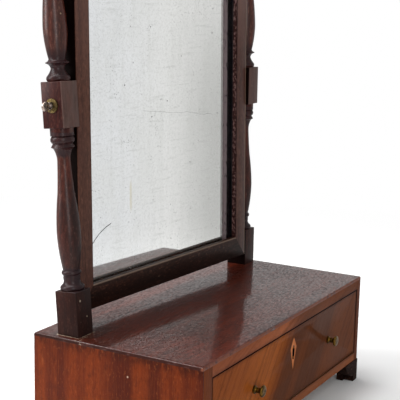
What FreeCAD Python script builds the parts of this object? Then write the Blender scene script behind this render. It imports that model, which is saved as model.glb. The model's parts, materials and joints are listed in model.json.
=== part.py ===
"""Dressing-table mirror on a one-drawer box.

A dark frame with an old glass swings on two thumb screws between turned posts.  The posts stand near
the back corners of a veneered box on bracket feet, and the box holds one drawer with a lock.
+X is to the right, +Y to the back and +Z up.  The origin is on the ground, midway between the front of
the knobs and the back of the posts.  All lengths are in millimetres and all angles in degrees.
"""
import FreeCAD, Part
import Sketcher
import math
import os

Vector = FreeCAD.Vector
Rotation = FreeCAD.Rotation
Placement = FreeCAD.Placement

# ---------------------------------------------------------------- driving dimensions
SIZES = {
    # box
    "box_width": 440.0,
    "box_depth": 217.0,
    "box_shift": 2.4,              # the middle of the box lies this far behind the origin
    "carcass_height": 118.0,
    "top_thick": 4.0,
    "top_round": 3.0,
    "subtop_thick": 7.0,
    "core_thick": 9.7,
    "veneer_thick": 2.0,
    "corner_joint": 0.8,           # open joint between side veneer and front stile
    "guide_thick": 8.7,            # strip beside the drawer, on the left only
    "guide_height": 18.0,
    "top_rail_height": 12.7,
    "bottom_rail_height": 11.5,
    "back_thick": 8.0,
    "dust_thick": 6.0,
    "runner_width": 20.0,
    "kicker_width": 30.0,
    "stop_length": 24.0,
    "stop_depth": 10.0,
    "stop_rise": 3.0,              # above the runners
    "stop_spacing": 240.0,
    "seat_gap": 0.3,               # slack between a moving piece and what it rides on or stops at
    # feet
    "foot_height": 30.0,
    "foot_proud": 1.0,
    "bracket_thick": 12.5,
    "front_bracket_length": 44.0,
    "front_bracket_toe": 14.0,
    "side_bracket_length": 56.0,
    "side_bracket_toe": 20.0,
    "bracket_swell": 5.0,
    "toe_ledge": 6.5,              # height of the upright end of a toe
    "toe_step": 1.5,               # the nick above it
    "glue_block": 9.0,
    "glue_block_lift": 1.0,
    # drawer
    "drawer_gap": 1.0,
    "drawer_recess": 0.5,
    "drawer_back_space": 16.5,     # behind the shut drawer
    "drawer_front_thick": 16.0,
    "drawer_side_thick": 8.0,
    "drawer_back_thick": 8.0,
    "drawer_floor_thick": 4.0,
    "drawer_floor_lift": 5.0,
    "drawer_floor_groove": 3.5,
    "tail_length": 10.0,           # of the half-blind dovetails at the front
    "tail_width": 18.0,            # at the wide end
    "tail_flare": 2.0,             # each side, over the length of the tail
    # knobs
    "knob_spacing": 212.0,
    "knob_shift": 2.0,             # both knobs sit this far right of the middle
    "knob_foot_radius": 4.8,
    "knob_foot_height": 1.6,
    "knob_neck_radius": 3.3,
    "knob_neck_height": 4.8,
    "knob_reach": 12.8,
    "knob_head_radius": 6.9,
    "knob_head_thick": 2.4,
    "knob_dome": 0.8,
    "knob_flat": 2.0,              # radius of the flat in the middle of the dome
    "stud_radius": 1.9,
    "stud_slack": 0.1,
    "nut_size": 9.0,
    "nut_thick": 3.0,
    "stud_past_nut": 1.0,
    # lock
    "inlay_height": 40.2,
    "inlay_width": 16.8,
    "inlay_shoulder": 13.4,        # tip of the kite down to its widest line
    "inlay_drop": 11.1,            # top of the drawer down to the tip of the kite
    "inlay_thick": 1.2,
    "key_drop": 11.4,              # tip of the kite down to the top of the keyhole
    "key_eye_radius": 3.1,
    "key_slot_width": 5.0,
    "key_hole_length": 15.2,
    "lock_width": 40.0,
    "lock_height": 32.0,
    "lock_thick": 7.0,
    "lock_wall": 1.2,
    "selvage_width": 54.0,
    "selvage_thick": 1.6,
    "bolt_width": 14.0,
    "bolt_thick": 3.0,
    "bolt_length": 13.0,
    "bolt_throw": 5.0,
    "bolt_slack": 0.2,
    "bolt_pocket_slack": 1.0,
    # posts, with heights along the post above the top of the box or above or below a block
    "post_inset": 21.3,            # side of the box to the middle of the post
    "post_from_back": 41.7,
    "post_inward_lean": 0.86,
    "left_post_back_lean": 5.3,
    "post_block": 28.0,
    "foot_block_height": 49.8,
    "tenon_radius": 7.0,
    "tenon_length": 15.5,
    "tenon_slack": 0.1,
    "block_below_pivot": 24.6,
    "block_above_pivot": 25.7,
    "lip_radius": 12.3,
    "lip_height": 5.4,
    "lip_swell": 1.2,
    "neck_radius": 9.5,
    "neck_rise": 12.2,
    "neck_height": 4.6,
    "ring_height": 5.6,
    "ring_swell": 1.7,
    "vase_foot_radius": 9.2,
    "vase_radius": 13.3,
    "vase_rise": 65.2,
    "vase_swell": 1.0,
    "shoulder_radius": 9.6,
    "shoulder_rise": 107.0,
    "shoulder_swell": 0.6,
    "waist_radius": 7.4,
    "waist_drop": 38.0,
    "waist_hollow": 0.2,
    "flare_radius": 10.7,
    "flare_drop": 22.5,
    "flare_hollow": 1.2,
    "edge_radius": 13.2,
    "edge_drop": 21.0,
    "quirk_radius": 11.0,
    "quirk_drop": 17.2,
    "bead_height": 8.6,
    "bead_swell": 2.3,
    "band_radius": 13.0,
    # the turning above the swing block
    "bell_radius": 11.3,
    "bell_height": 5.2,
    "bell_swell": 1.0,
    "bell_hollow": 0.5,
    "throat_radius": 7.4,
    "throat_rise": 12.9,
    "throat_hollow": 1.3,
    "collar_radius": 12.6,
    "collar_rise": 18.2,
    "collar_height": 1.2,
    "collar_swell": 0.3,
    "collar_hollow": 0.6,
    "urn_foot_radius": 9.2,
    "urn_foot_rise": 22.6,
    "urn_radius": 13.2,
    "urn_rise": 56.5,
    "urn_swell": 0.9,
    "urn_shoulder_radius": 10.0,
    "urn_shoulder_rise": 95.0,
    "urn_shoulder_swell": 0.5,
    "stem_radius": 6.8,
    "stem_rise": 118.0,
    "stem_hollow": 0.3,
    "cap_radius": 10.2,
    "cap_rise": 129.5,
    "cap_hollow": 1.2,
    "cap_height": 4.0,
    "cap_swell": 1.2,
    "reel_radius": 4.6,
    "reel_rise": 140.0,
    "reel_hollow": 1.4,
    "ball_height": 17.0,
    "ball_swell": 5.4,
    "button_radius": 3.0,
    "button_height": 4.6,
    "button_swell": 1.0,
    "button_flat": 0.8,            # radius of the flat tip
    # mirror, measured from the hinge line
    "mirror_slack": 2.0,           # frame edge to swing block
    "mirror_rest_tilt": 1.4,       # top backwards
    "frame_thick": 18.5,
    "frame_front_reach": 11.0,     # hinge line to the front face
    "frame_below": 235.3,
    "mirror_lift": 17.1,           # top of the box to the lower edge of the frame
    "frame_above": 215.0,
    "stile_width": 23.3,
    "frame_bottom_width": 28.0,
    "frame_top_width": 24.0,
    "frame_lip": 8.3,              # front face to the glass
    "rebate_width": 6.0,
    "glass_thick": 2.8,
    "silver_thick": 0.2,
    "glass_slack": 0.5,
    "backboard_thick": 4.5,
    "sprig_radius": 0.7,
    "sprig_length": 9.0,
    "sprig_depth": 5.0,            # in the wood
    "sprig_spacing": 130.0,
    "sprig_lift": 0.05,
    "key_leg": 18.0,
    "key_thick": 2.0,
    # swing screws, their roses and their nut plates
    "nut_plate_length": 34.0,
    "nut_plate_width": 12.0,
    "nut_plate_thick": 2.0,
    "screw_radius": 2.5,
    "screw_slack": 0.08,
    "screw_grip": 12.0,            # how far the shank reaches into the frame
    "screw_pocket_slack": 0.5,     # round the shank, in the wood of the frame
    "screw_pocket_depth": 14.0,
    "rose_radius": 7.8,
    "rose_thick": 1.6,
    "screw_collar_radius": 4.2,
    "screw_collar_length": 2.2,
    "thumb_radius": 5.3,
    "thumb_thick": 3.8,
    "thumb_neck_radius": 2.6,
    "thumb_reach": 6.6,            # outside of the rose to the middle of the thumb piece
}


class Size:
    """A length that carries its spreadsheet formula along with its number."""

    def __init__(self, number, formula):
        self.number = number
        self.formula = formula

    def __float__(self):
        return float(self.number)

    def __add__(self, other):
        other = size(other)
        return Size(self.number + other.number, f"({self.formula} + {other.formula})")

    def __sub__(self, other):
        other = size(other)
        return Size(self.number - other.number, f"({self.formula} - {other.formula})")

    def __mul__(self, other):
        other = size(other)
        return Size(self.number * other.number, f"({self.formula} * {other.formula})")

    def __truediv__(self, other):
        other = size(other)
        return Size(self.number / other.number, f"({self.formula} / {other.formula})")

    def __neg__(self):
        return Size(-self.number, f"(-{self.formula})")

    def __radd__(self, other):
        return size(other) + self

    def __rsub__(self, other):
        return size(other) - self

    def __rmul__(self, other):
        return size(other) * self


def size(value):
    """A bare number stays the same number in every formula."""
    return value if isinstance(value, Size) else Size(float(value), repr(float(value)))


def cosine(angle):
    return Size(math.cos(math.radians(float(angle))), f"cos({angle.formula} * 1 deg)")


def tangent(angle):
    return Size(math.tan(math.radians(float(angle))), f"tan({angle.formula} * 1 deg)")


class Sheet:
    """Puts the driving dimensions in a spreadsheet and gives each as an attribute."""

    def __init__(self, document, sizes):
        cells = document.addObject("Spreadsheet::Sheet", "dims")
        for row, (alias, number) in enumerate(sizes.items(), start=1):
            cells.set(f"A{row}", alias)
            cells.set(f"B{row}", str(number))
            cells.setAlias(f"B{row}", alias)
            setattr(self, alias, Size(number, f"dims.{alias}"))


doc = FreeCAD.newDocument("swing_mirror")
d = Sheet(doc, SIZES)
doc.recompute()
NODES = {}


# ---------------------------------------------------------------- building helpers
def bind(thing, prop, value):
    """Bind one property to its spreadsheet formula."""
    thing.setExpression(prop, size(value).formula)


def move(thing, at, rotation=None):
    """Turn an object, and bind where its own origin lies."""
    thing.Placement = Placement(Vector(), rotation or Rotation())
    for axis, value in zip("xyz", at):
        bind(thing, f"Placement.Base.{axis}", value)
    return thing


def keep(name, thing):
    """Give a finished piece its name, which makes it a node of its own."""
    thing.Label = name
    NODES[name] = thing
    return thing


def box(x, y, z, name="board"):
    """A board between a low and a high value along each axis."""
    thing = doc.addObject("Part::Box", name)
    for prop, (low, high) in zip(("Length", "Width", "Height"), (x, y, z)):
        bind(thing, prop, high - size(low))
    return move(thing, (x[0], y[0], z[0]))


ALONG_X = Rotation(Vector(0, 1, 0), 90)
ALONG_Y = Rotation(Vector(1, 0, 0), -90)
TOWARDS_FRONT = Rotation(Vector(1, 0, 0), 90)


def rod(radius, length, at, rotation=None, name="rod"):
    """A round bar that starts at a point and runs along its own Z."""
    thing = doc.addObject("Part::Cylinder", name)
    bind(thing, "Radius", radius)
    bind(thing, "Height", length)
    return move(thing, at, rotation)


def fuse(*pieces, name="joined"):
    thing = doc.addObject("Part::MultiFuse", name)
    thing.Shapes = list(pieces)
    return thing


def together(*pieces, name="set"):
    """Hold separate pieces as one object, which can be placed as a whole."""
    thing = doc.addObject("Part::Compound", name)
    thing.Links = list(pieces)
    return thing


def cut(base, *tools, name="worked"):
    """Take one or more tools away from a piece."""
    thing = doc.addObject("Part::Cut", name)
    thing.Base = base
    thing.Tool = tools[0] if len(tools) == 1 else fuse(*tools, name=name + "_tools")
    return thing


def drawing(body, plane, height, name):
    """An empty sketch on one of the body's own planes, raised along that plane's normal."""
    sketch = body.newObject("Sketcher::SketchObject", name)
    origin_plane = [f for f in body.Origin.OriginFeatures if f.Role == plane + "_Plane"][0]
    sketch.AttachmentSupport = [(origin_plane, "")]
    sketch.MapMode = "FlatFace"
    bind(sketch, "AttachmentOffset.Base.z", height)
    return sketch


def outline(sketch, corners):
    """Draw a closed outline with its corners and radii bound to the spreadsheet.

    Each corner is (across, up).  A third value makes the edge that leads to it an arc, which stands
    out that far to the right of the way drawn, or to the left if it is negative.
    """
    points = [Vector(float(c[0]), float(c[1]), 0) for c in corners]
    shapes = []
    rules = []
    arcs = []
    for index, end in enumerate(points):
        start = points[index - 1]
        bulge = corners[index][2] if len(corners[index]) == 3 else None
        if bulge is None:
            shapes.append(Part.LineSegment(start, end))
            continue
        way = (end - start).normalize()
        middle = (start + end) / 2 + Vector(way.y, -way.x, 0) * float(bulge)
        shapes.append(Part.Arc(start, middle, end))
        arcs.append((index, bulge))
    sketch.addGeometry(shapes)

    def end_at(index, point):
        """Which end of an edge lies at a point: 1 for its start and 2 for its end."""
        return 1 if sketch.getPoint(index, 1).distanceToPoint(point) < 1e-6 else 2

    formulas = []
    for index, point in enumerate(points):
        after = (index + 1) % len(points)
        here = end_at(index, point)
        rules.append(Sketcher.Constraint("Coincident", index, here, after, end_at(after, point)))
        for kind, value in zip(("DistanceX", "DistanceY"), corners[index]):
            formulas.append((len(rules), value))
            rules.append(Sketcher.Constraint(kind, index, here, float(value)))
    for index, bulge in arcs:
        (x1, z1), (x2, z2) = corners[index - 1][:2], corners[index][:2]
        width = size(x2) - x1
        rise = size(z2) - z1
        depth = size(bulge) if float(bulge) > 0 else -size(bulge)
        radius = (width * width + rise * rise) / (depth * 8) + depth / 2
        formulas.append((len(rules), radius))
        rules.append(Sketcher.Constraint("Radius", index, float(radius)))
    sketch.addConstraint(rules)
    for number, value in formulas:
        if isinstance(value, Size):
            bind(sketch, f"Constraints[{number}]", value)
    return sketch


NORMAL_SIGN = {"XY": 1, "XZ": -1, "YZ": 1}


def extrude(kind, body, plane, corners, across, name):
    """Pad or pocket an outline between a low and a high value across its plane."""
    start = across[0] if NORMAL_SIGN[plane] > 0 else -size(across[1])
    sketch = outline(drawing(body, plane, start, name + "_sketch"), corners)
    feature = body.newObject("PartDesign::" + kind, name)
    feature.Profile = sketch
    feature.Reversed = kind == "Pocket"
    bind(feature, "Length", size(across[1]) - across[0])
    return feature


def prism(plane, corners, across, name="shape"):
    """A body with one padded outline."""
    body = doc.addObject("PartDesign::Body", name)
    extrude("Pad", body, plane, corners, across, name + "_pad")
    return body


def turn(body, corners, name="turning"):
    """Turn a profile of (radius, height) about the body's own Z."""
    sketch = outline(drawing(body, "XZ", 0, name + "_sketch"), corners)
    feature = body.newObject("PartDesign::Revolution", name)
    feature.Profile = sketch
    feature.ReferenceAxis = (sketch, ["V_Axis"])
    feature.Angle = 360
    return feature


def turned(corners, name="turned"):
    """A body with one turned profile."""
    body = doc.addObject("PartDesign::Body", name)
    turn(body, corners)
    return body


# ---------------------------------------------------------------- planes that the pieces share
side_right = d.box_width / 2
front = d.box_shift - d.box_depth / 2
back = front + d.box_depth
top = d.foot_height + d.carcass_height
top_low = top - d.top_thick
subtop_low = top_low - d.subtop_thick
floor_top = d.foot_height + d.dust_thick
core_face = side_right - d.veneer_thick - d.core_thick
back_face = back - d.back_thick

opening_left = d.guide_thick - core_face
opening_right = core_face
opening_low = d.foot_height + d.bottom_rail_height
opening_high = top_low - d.top_rail_height
drawer_face = front + d.drawer_recess
drawer_front_back = drawer_face + d.drawer_front_thick
face_frame_back = drawer_front_back + d.seat_gap

drawer_left = opening_left + d.drawer_gap
drawer_right = opening_right - d.drawer_gap
drawer_low = opening_low + d.drawer_gap
drawer_high = opening_high - d.drawer_gap
drawer_middle = (drawer_left + drawer_right) / 2
knob_height = (drawer_low + drawer_high) / 2
bolt_middle = drawer_front_back - d.lock_thick / 2


# ---------------------------------------------------------------- posts and hinge line
LEFT = -1
RIGHT = 1
SIDES = {"left": LEFT, "right": RIGHT}
pivot_height = d.frame_below + d.mirror_lift


def back_lean(side):
    return d.left_post_back_lean if side == LEFT else size(0)


def post_place(side):
    """The foot of a post on the box, and the way the post leans."""
    lean = (Rotation(Vector(1, 0, 0), -float(back_lean(side)))
            * Rotation(Vector(0, 1, 0), -side * float(d.post_inward_lean)))
    foot = Vector(side * float(side_right - d.post_inset), float(back - d.post_from_back), float(top))
    return Placement(foot, lean)


def pivot_rise(side):
    """Where the level hinge line crosses the post, along the post."""
    return pivot_height / cosine(d.post_inward_lean) / cosine(back_lean(side))


def hinge_end(side):
    """The point where the hinge line leaves the inner face of a swing block."""
    return post_place(side).multVec(Vector(-side * float(d.post_block) / 2, 0, float(pivot_rise(side))))


hinge_left = hinge_end(LEFT)
hinge_right = hinge_end(RIGHT)
hinge_span = size(hinge_left.distanceToPoint(hinge_right))
hinge_turn = Rotation(hinge_right - hinge_left, Vector(), Vector(0, 0, 1), "XZY")
hinge_place = Placement((hinge_left + hinge_right) / 2, hinge_turn)
mirror_place = Placement(hinge_place.Base,
                         hinge_turn * Rotation(Vector(1, 0, 0), -float(d.mirror_rest_tilt)))


def hinge_bore(radius, name="hinge_bore"):
    """A bar along the whole hinge line, to bore posts and roses with."""
    reach = hinge_span / 2 + d.post_block * 2
    bore = together(rod(radius, reach * 2, (-reach, 0, 0), ALONG_X), name=name)
    bore.Placement = hinge_place
    return bore


def post_tenon(side, radius):
    """The round tenon below a post, which leans with it."""
    tenon = together(rod(radius, d.tenon_length, (0, 0, -d.tenon_length)), name="tenon")
    tenon.Placement = post_place(side)
    return tenon


def post_profile(side):
    """Radius and height of every member of the turning, from the tenon to the finial."""
    z = d.foot_block_height
    low = pivot_rise(side) - d.block_below_pivot
    high = pivot_rise(side) + d.block_above_pivot
    lip = z + d.lip_height
    neck = z + d.neck_rise
    ring = neck + d.neck_height
    quirk = low - d.quirk_drop
    bead = quirk + d.bead_height
    bell = high + d.bell_height
    collar = high + d.collar_rise
    cap = high + d.cap_rise
    reel = high + d.reel_rise
    button = reel + d.ball_height
    return [
        (0, -d.tenon_length), (d.tenon_radius, -d.tenon_length), (d.tenon_radius, z / 2),
        (d.lip_radius, z / 2), (d.lip_radius, z),
        (d.lip_radius, lip, d.lip_swell),
        (d.neck_radius, neck, -d.lip_swell),
        (d.neck_radius, ring),
        (d.vase_foot_radius, ring + d.ring_height, d.ring_swell),
        (d.vase_radius, z + d.vase_rise, d.vase_swell),
        (d.shoulder_radius, z + d.shoulder_rise, d.shoulder_swell),
        (d.waist_radius, low - d.waist_drop, -d.waist_hollow),
        (d.flare_radius, low - d.flare_drop, -d.flare_hollow),
        (d.edge_radius, low - d.edge_drop),
        (d.quirk_radius, quirk),
        (d.quirk_radius, bead, d.bead_swell),
        (d.band_radius, bead),
        (d.band_radius, low), (d.quirk_radius, low), (d.quirk_radius, high),
        (d.bell_radius, high),
        (d.bell_radius, bell, d.bell_swell),
        (d.throat_radius, high + d.throat_rise, -d.bell_hollow),
        (d.collar_radius, collar, -d.throat_hollow),
        (d.collar_radius, collar + d.collar_height, d.collar_swell),
        (d.urn_foot_radius, high + d.urn_foot_rise, -d.collar_hollow),
        (d.urn_radius, high + d.urn_rise, d.urn_swell),
        (d.urn_shoulder_radius, high + d.urn_shoulder_rise, d.urn_shoulder_swell),
        (d.stem_radius, high + d.stem_rise, -d.stem_hollow),
        (d.cap_radius, cap, -d.cap_hollow),
        (d.cap_radius, cap + d.cap_height, d.cap_swell),
        (d.reel_radius, reel, -d.reel_hollow),
        (d.button_radius, button, d.ball_swell),
        (d.button_flat, button + d.button_height, d.button_swell),
        (0, button + d.button_height),
    ]


def square(half):
    return [(-half, -half), (half, -half), (half, half), (-half, half)]


def post(side, name):
    """Turned from square stock, which stays square at the foot and at the swing screw."""
    body = doc.addObject("PartDesign::Body", name + "_stock")
    turn(body, post_profile(side))
    half = d.post_block / 2
    spare = half * tangent(d.left_post_back_lean) + d.seat_gap
    swing_block = (pivot_rise(side) - d.block_below_pivot, pivot_rise(side) + d.block_above_pivot)
    extrude("Pad", body, "XY", square(half), (-spare, d.foot_block_height), "foot_block")
    extrude("Pad", body, "XY", square(half), swing_block, "swing_block")
    body.Placement = post_place(side)
    # the leaning block is planed off level with the top of the box
    middle = side * (side_right - d.post_inset)
    below = box((middle - d.post_block, middle + d.post_block),
                (back - d.post_from_back - d.post_block, back - d.post_from_back + d.post_block),
                (top - d.tenon_length * 2, top), "below_top")
    waste = cut(below, post_tenon(side, d.tenon_radius), name="foot_waste")
    keep(name, cut(body, waste, hinge_bore(d.screw_radius + d.screw_slack), name=name + "_cut"))


def rose(side, name):
    """Brass plate on the outer face of the swing block."""
    face = side * d.post_block / 2
    low = face if side == RIGHT else face - d.rose_thick
    plate = together(rod(d.rose_radius, d.rose_thick, (low, 0, pivot_rise(side)), ALONG_X))
    plate.Placement = post_place(side)
    keep(name, cut(plate, hinge_bore(d.screw_radius + d.screw_slack), name=name + "_cut"))


for side_name, side in SIDES.items():
    post(side, "post_" + side_name)
    rose(side, "rose_" + side_name)


# ---------------------------------------------------------------- box
def tenon_holes():
    return [post_tenon(side, d.tenon_radius + d.tenon_slack) for side in SIDES.values()]


def base_top():
    """Veneered top with its upper edges rounded."""
    body = prism("XY", [(-side_right, front), (side_right, front), (side_right, back), (-side_right, back)],
                 (top_low, top), "top_board")
    doc.recompute()
    feature = body.Tip
    edges = [f"Edge{number}" for number, edge in enumerate(feature.Shape.Edges, start=1)
             if edge.BoundBox.ZMin > float(top) - 1e-6]
    rounding = body.newObject("PartDesign::Fillet", "top_rounding")
    rounding.Base = (feature, edges)
    bind(rounding, "Radius", d.top_round)
    keep("base_top", cut(body, *tenon_holes(), name="top_cut"))


base_top()
keep("base_subtop", cut(box((d.veneer_thick - side_right, side_right - d.veneer_thick), (face_frame_back, back),
                            (subtop_low, top_low)), *tenon_holes(), name="subtop_cut"))


def mirrored(side, inner, outer):
    """A low and a high x for a piece that lies between two distances from the middle."""
    return (inner, outer) if side == RIGHT else (-outer, -inner)


for side_name, side in SIDES.items():
    keep("side_veneer_" + side_name, box(mirrored(side, side_right - d.veneer_thick, side_right),
                                         (front, back), (d.foot_height, top_low)))
    keep("side_core_" + side_name, box(mirrored(side, core_face, side_right - d.veneer_thick),
                                       (face_frame_back, back), (d.foot_height, subtop_low)))
    keep("drawer_runner_" + side_name, box(mirrored(side, core_face - d.runner_width, core_face),
                                           (face_frame_back, back_face), (floor_top, opening_low)))
    kicker = box(mirrored(side, core_face - d.kicker_width, core_face), (face_frame_back, back_face),
                 (opening_high, subtop_low))
    keep("drawer_kicker_" + side_name, cut(kicker, *tenon_holes(), name="kicker_cut"))

stile_outside = side_right - d.veneer_thick - d.corner_joint
keep("front_stile_left", box((-stile_outside, opening_left), (front, face_frame_back), (d.foot_height, top_low)))
keep("front_stile_right", box((opening_right, stile_outside), (front, face_frame_back), (d.foot_height, top_low)))
keep("front_rail_bottom", box((opening_left, opening_right), (front, face_frame_back),
                              (d.foot_height, opening_low)))
rail = box((opening_left, opening_right), (front, face_frame_back), (opening_high, top_low))
bolt_pocket = box((drawer_middle - d.bolt_width / 2 - d.bolt_pocket_slack,
                   drawer_middle + d.bolt_width / 2 + d.bolt_pocket_slack),
                  (bolt_middle - d.bolt_thick / 2 - d.bolt_pocket_slack,
                   bolt_middle + d.bolt_thick / 2 + d.bolt_pocket_slack),
                  (opening_high, drawer_high + d.bolt_throw + d.bolt_pocket_slack))
keep("front_rail_top", cut(rail, bolt_pocket, name="rail_cut"))
keep("back_board", box((-core_face, core_face), (back_face, back), (d.foot_height, subtop_low)))
keep("dust_board", box((-core_face, core_face), (face_frame_back, back_face), (d.foot_height, floor_top)))
keep("drawer_guide_left", box((-core_face, opening_left), (face_frame_back, back_face),
                              (opening_low, opening_low + d.guide_height)))
keep("drawer_stops", together(*[
    box((drawer_middle + side * d.stop_spacing / 2 - d.stop_length / 2,
         drawer_middle + side * d.stop_spacing / 2 + d.stop_length / 2),
        (face_frame_back, face_frame_back + d.stop_depth), (floor_top, opening_low + d.stop_rise))
    for side in SIDES.values()], name="stops"))


# ---------------------------------------------------------------- bracket feet
FRONT = -1
REAR = 1
corner_x = side_right + d.foot_proud
corner_front = front - d.foot_proud
corner_back = back + d.foot_proud


def bracket(name, plane, corner, inward, length, toe, outside, mitre):
    """A shaped board that runs inward from a corner, with its end mitred to the next one.

    corner and inward give where it starts along its own length and which way it runs, and outside
    gives the low and high value across its thickness.
    """
    shape = [(corner, 0), (corner + inward * toe, 0), (corner + inward * toe, d.toe_ledge),
             (corner + inward * (toe - d.toe_step), d.toe_ledge + d.toe_step),
             (corner + inward * length, d.foot_height, inward * d.bracket_swell), (corner, d.foot_height)]
    body = prism(plane, shape, outside, name + "_blank")
    extrude("Pocket", body, "XY", mitre, (0, d.foot_height), "mitre")
    keep(name, body)


def foot(depth_name, side_name):
    """Two brackets that meet in a mitre."""
    right = SIDES[side_name]
    rear = REAR if depth_name == "back" else FRONT
    x0 = right * corner_x
    y0 = corner_back if rear == REAR else corner_front
    x1 = x0 - right * d.bracket_thick
    y1 = y0 - rear * d.bracket_thick
    label = f"foot_{depth_name}_{side_name}"
    along_y = (y0, y1) if rear == FRONT else (y1, y0)
    along_x = (x0, x1) if right == LEFT else (x1, x0)
    bracket(label + "_cross", "XZ", x0, -right, d.front_bracket_length, d.front_bracket_toe,
            along_y, [(x0, y0), (x1, y1), (x0, y1)])
    bracket(label + "_side", "YZ", y0, -rear, d.side_bracket_length, d.side_bracket_toe,
            along_x, [(x0, y0), (x1, y0), (x1, y1)])
    x2 = x1 - right * d.glue_block
    y2 = y1 - rear * d.glue_block
    return box((x1, x2) if right == LEFT else (x2, x1), (y1, y2) if rear == FRONT else (y2, y1),
               (d.glue_block_lift, d.foot_height), "glue_block")


keep("foot_glue_blocks", together(*[foot(depth_name, side_name)
                                    for depth_name in ("front", "back") for side_name in SIDES],
                                  name="glue_blocks"))


# ---------------------------------------------------------------- drawer
side_low = opening_low + d.seat_gap
drawer_end = back_face - d.drawer_back_space
drawer_back_face = drawer_end - d.drawer_back_thick
floor_low = side_low + d.drawer_floor_lift
floor_high = floor_low + d.drawer_floor_thick


TAIL_PLACES = (-1, 0, 1)


def tails(shoulder, tip):
    """Corners of the dovetails at one end of a drawer side, from the bottom up."""
    corners = []
    middle = (side_low + drawer_high) / 2
    spacing = (drawer_high - side_low) / len(TAIL_PLACES)
    for place in TAIL_PLACES:
        centre = middle + place * spacing
        narrow = d.tail_width / 2 - d.tail_flare
        wide = d.tail_width / 2
        corners += [(shoulder, centre - narrow), (tip, centre - wide), (tip, centre + wide),
                    (shoulder, centre + narrow)]
    return corners


def drawer_side(side):
    """One side board, with half-blind tails in front and through tails behind."""
    face = (drawer_right - d.drawer_side_thick, drawer_right)
    if side == LEFT:
        face = (drawer_left, drawer_left + d.drawer_side_thick)
    front_tails = tails(drawer_front_back, drawer_front_back - d.tail_length)
    back_tails = tails(drawer_back_face, drawer_end)
    shape = ([(drawer_back_face, side_low)] + back_tails + [(drawer_back_face, drawer_high)]
             + [(drawer_front_back, drawer_high)] + front_tails[::-1] + [(drawer_front_back, side_low)])
    return prism("YZ", shape, face, "drawer_side_blank")


drawer_sides = {side_name: drawer_side(side) for side_name, side in SIDES.items()}
inside_left = drawer_left + d.drawer_side_thick
inside_right = drawer_right - d.drawer_side_thick
floor_panel = box((inside_left - d.drawer_floor_groove, inside_right + d.drawer_floor_groove),
                  (drawer_front_back - d.drawer_floor_groove, drawer_end), (floor_low, floor_high),
                  "floor_panel")
keep("drawer_bottom", floor_panel)
for side_name, board in drawer_sides.items():
    keep("drawer_side_" + side_name, cut(board, floor_panel, name="side_cut"))

back_blank = box((drawer_left, drawer_right), (drawer_back_face, drawer_end), (floor_high, drawer_high))
keep("drawer_back", cut(back_blank, *drawer_sides.values(), name="drawer_back_cut"))

kite_top = drawer_high - d.inlay_drop
kite = prism("XZ", [(drawer_middle, kite_top - d.inlay_height),
                    (drawer_middle + d.inlay_width / 2, kite_top - d.inlay_shoulder),
                    (drawer_middle, kite_top),
                    (drawer_middle - d.inlay_width / 2, kite_top - d.inlay_shoulder)],
             (drawer_face, drawer_face + d.inlay_thick), "kite")
key_top = kite_top - d.key_drop
key_eye = key_top - d.key_eye_radius
lock_face = drawer_front_back - d.lock_thick
case_wall_back = lock_face + d.lock_wall
keyhole = fuse(rod(d.key_eye_radius, case_wall_back - drawer_face, (drawer_middle, drawer_face, key_eye), ALONG_Y),
               box((drawer_middle - d.key_slot_width / 2, drawer_middle + d.key_slot_width / 2),
                   (drawer_face, case_wall_back), (key_top - d.key_hole_length, key_eye)), name="keyhole")
keep("keyhole_inlay", cut(kite, keyhole, name="inlay_cut"))

case_high = drawer_high - d.selvage_thick
case_low = case_high - d.lock_height
case = box((drawer_middle - d.lock_width / 2, drawer_middle + d.lock_width / 2),
           (lock_face, drawer_front_back), (case_low, case_high))
selvage = box((drawer_middle - d.selvage_width / 2, drawer_middle + d.selvage_width / 2),
              (lock_face - d.lock_wall, drawer_front_back), (case_high, drawer_high))
lock_blank = fuse(case, selvage, name="lock_blank")
case_hollow = box((drawer_middle - d.lock_width / 2 + d.lock_wall, drawer_middle + d.lock_width / 2 - d.lock_wall),
                  (case_wall_back, drawer_front_back - d.lock_wall), (case_low + d.lock_wall, case_high))


def around_bolt(slack, low, high, name):
    """The room that the bolt needs, or the bolt itself if there is no slack."""
    return box((drawer_middle - d.bolt_width / 2 - slack, drawer_middle + d.bolt_width / 2 + slack),
               (bolt_middle - d.bolt_thick / 2 - slack, bolt_middle + d.bolt_thick / 2 + slack),
               (low, high), name)


bolt_slot = around_bolt(d.bolt_slack, case_high, drawer_high, "bolt_slot")
keep("lock_case", cut(lock_blank, case_hollow, bolt_slot, keyhole, name="lock_cut"))
keep("lock_bolt", around_bolt(size(0), drawer_high - d.bolt_length, drawer_high, "bolt"))


def knob_profile():
    head = d.knob_reach - d.knob_head_thick - d.knob_dome
    rim = d.knob_head_radius - d.knob_head_thick / 4
    end = d.drawer_front_thick + d.nut_thick + d.stud_past_nut
    return [
        (0, -end), (d.stud_radius, -end), (d.stud_radius, 0),
        (d.knob_foot_radius, 0), (d.knob_foot_radius, d.knob_foot_height),
        (d.knob_neck_radius, d.knob_neck_height, -d.knob_dome),
        (rim, head, -d.knob_dome * 2),
        (rim, head + d.knob_head_thick, d.knob_head_thick / 4),
        (d.knob_flat, d.knob_reach, d.knob_dome / 3),
        (0, d.knob_reach),
    ]


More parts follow.
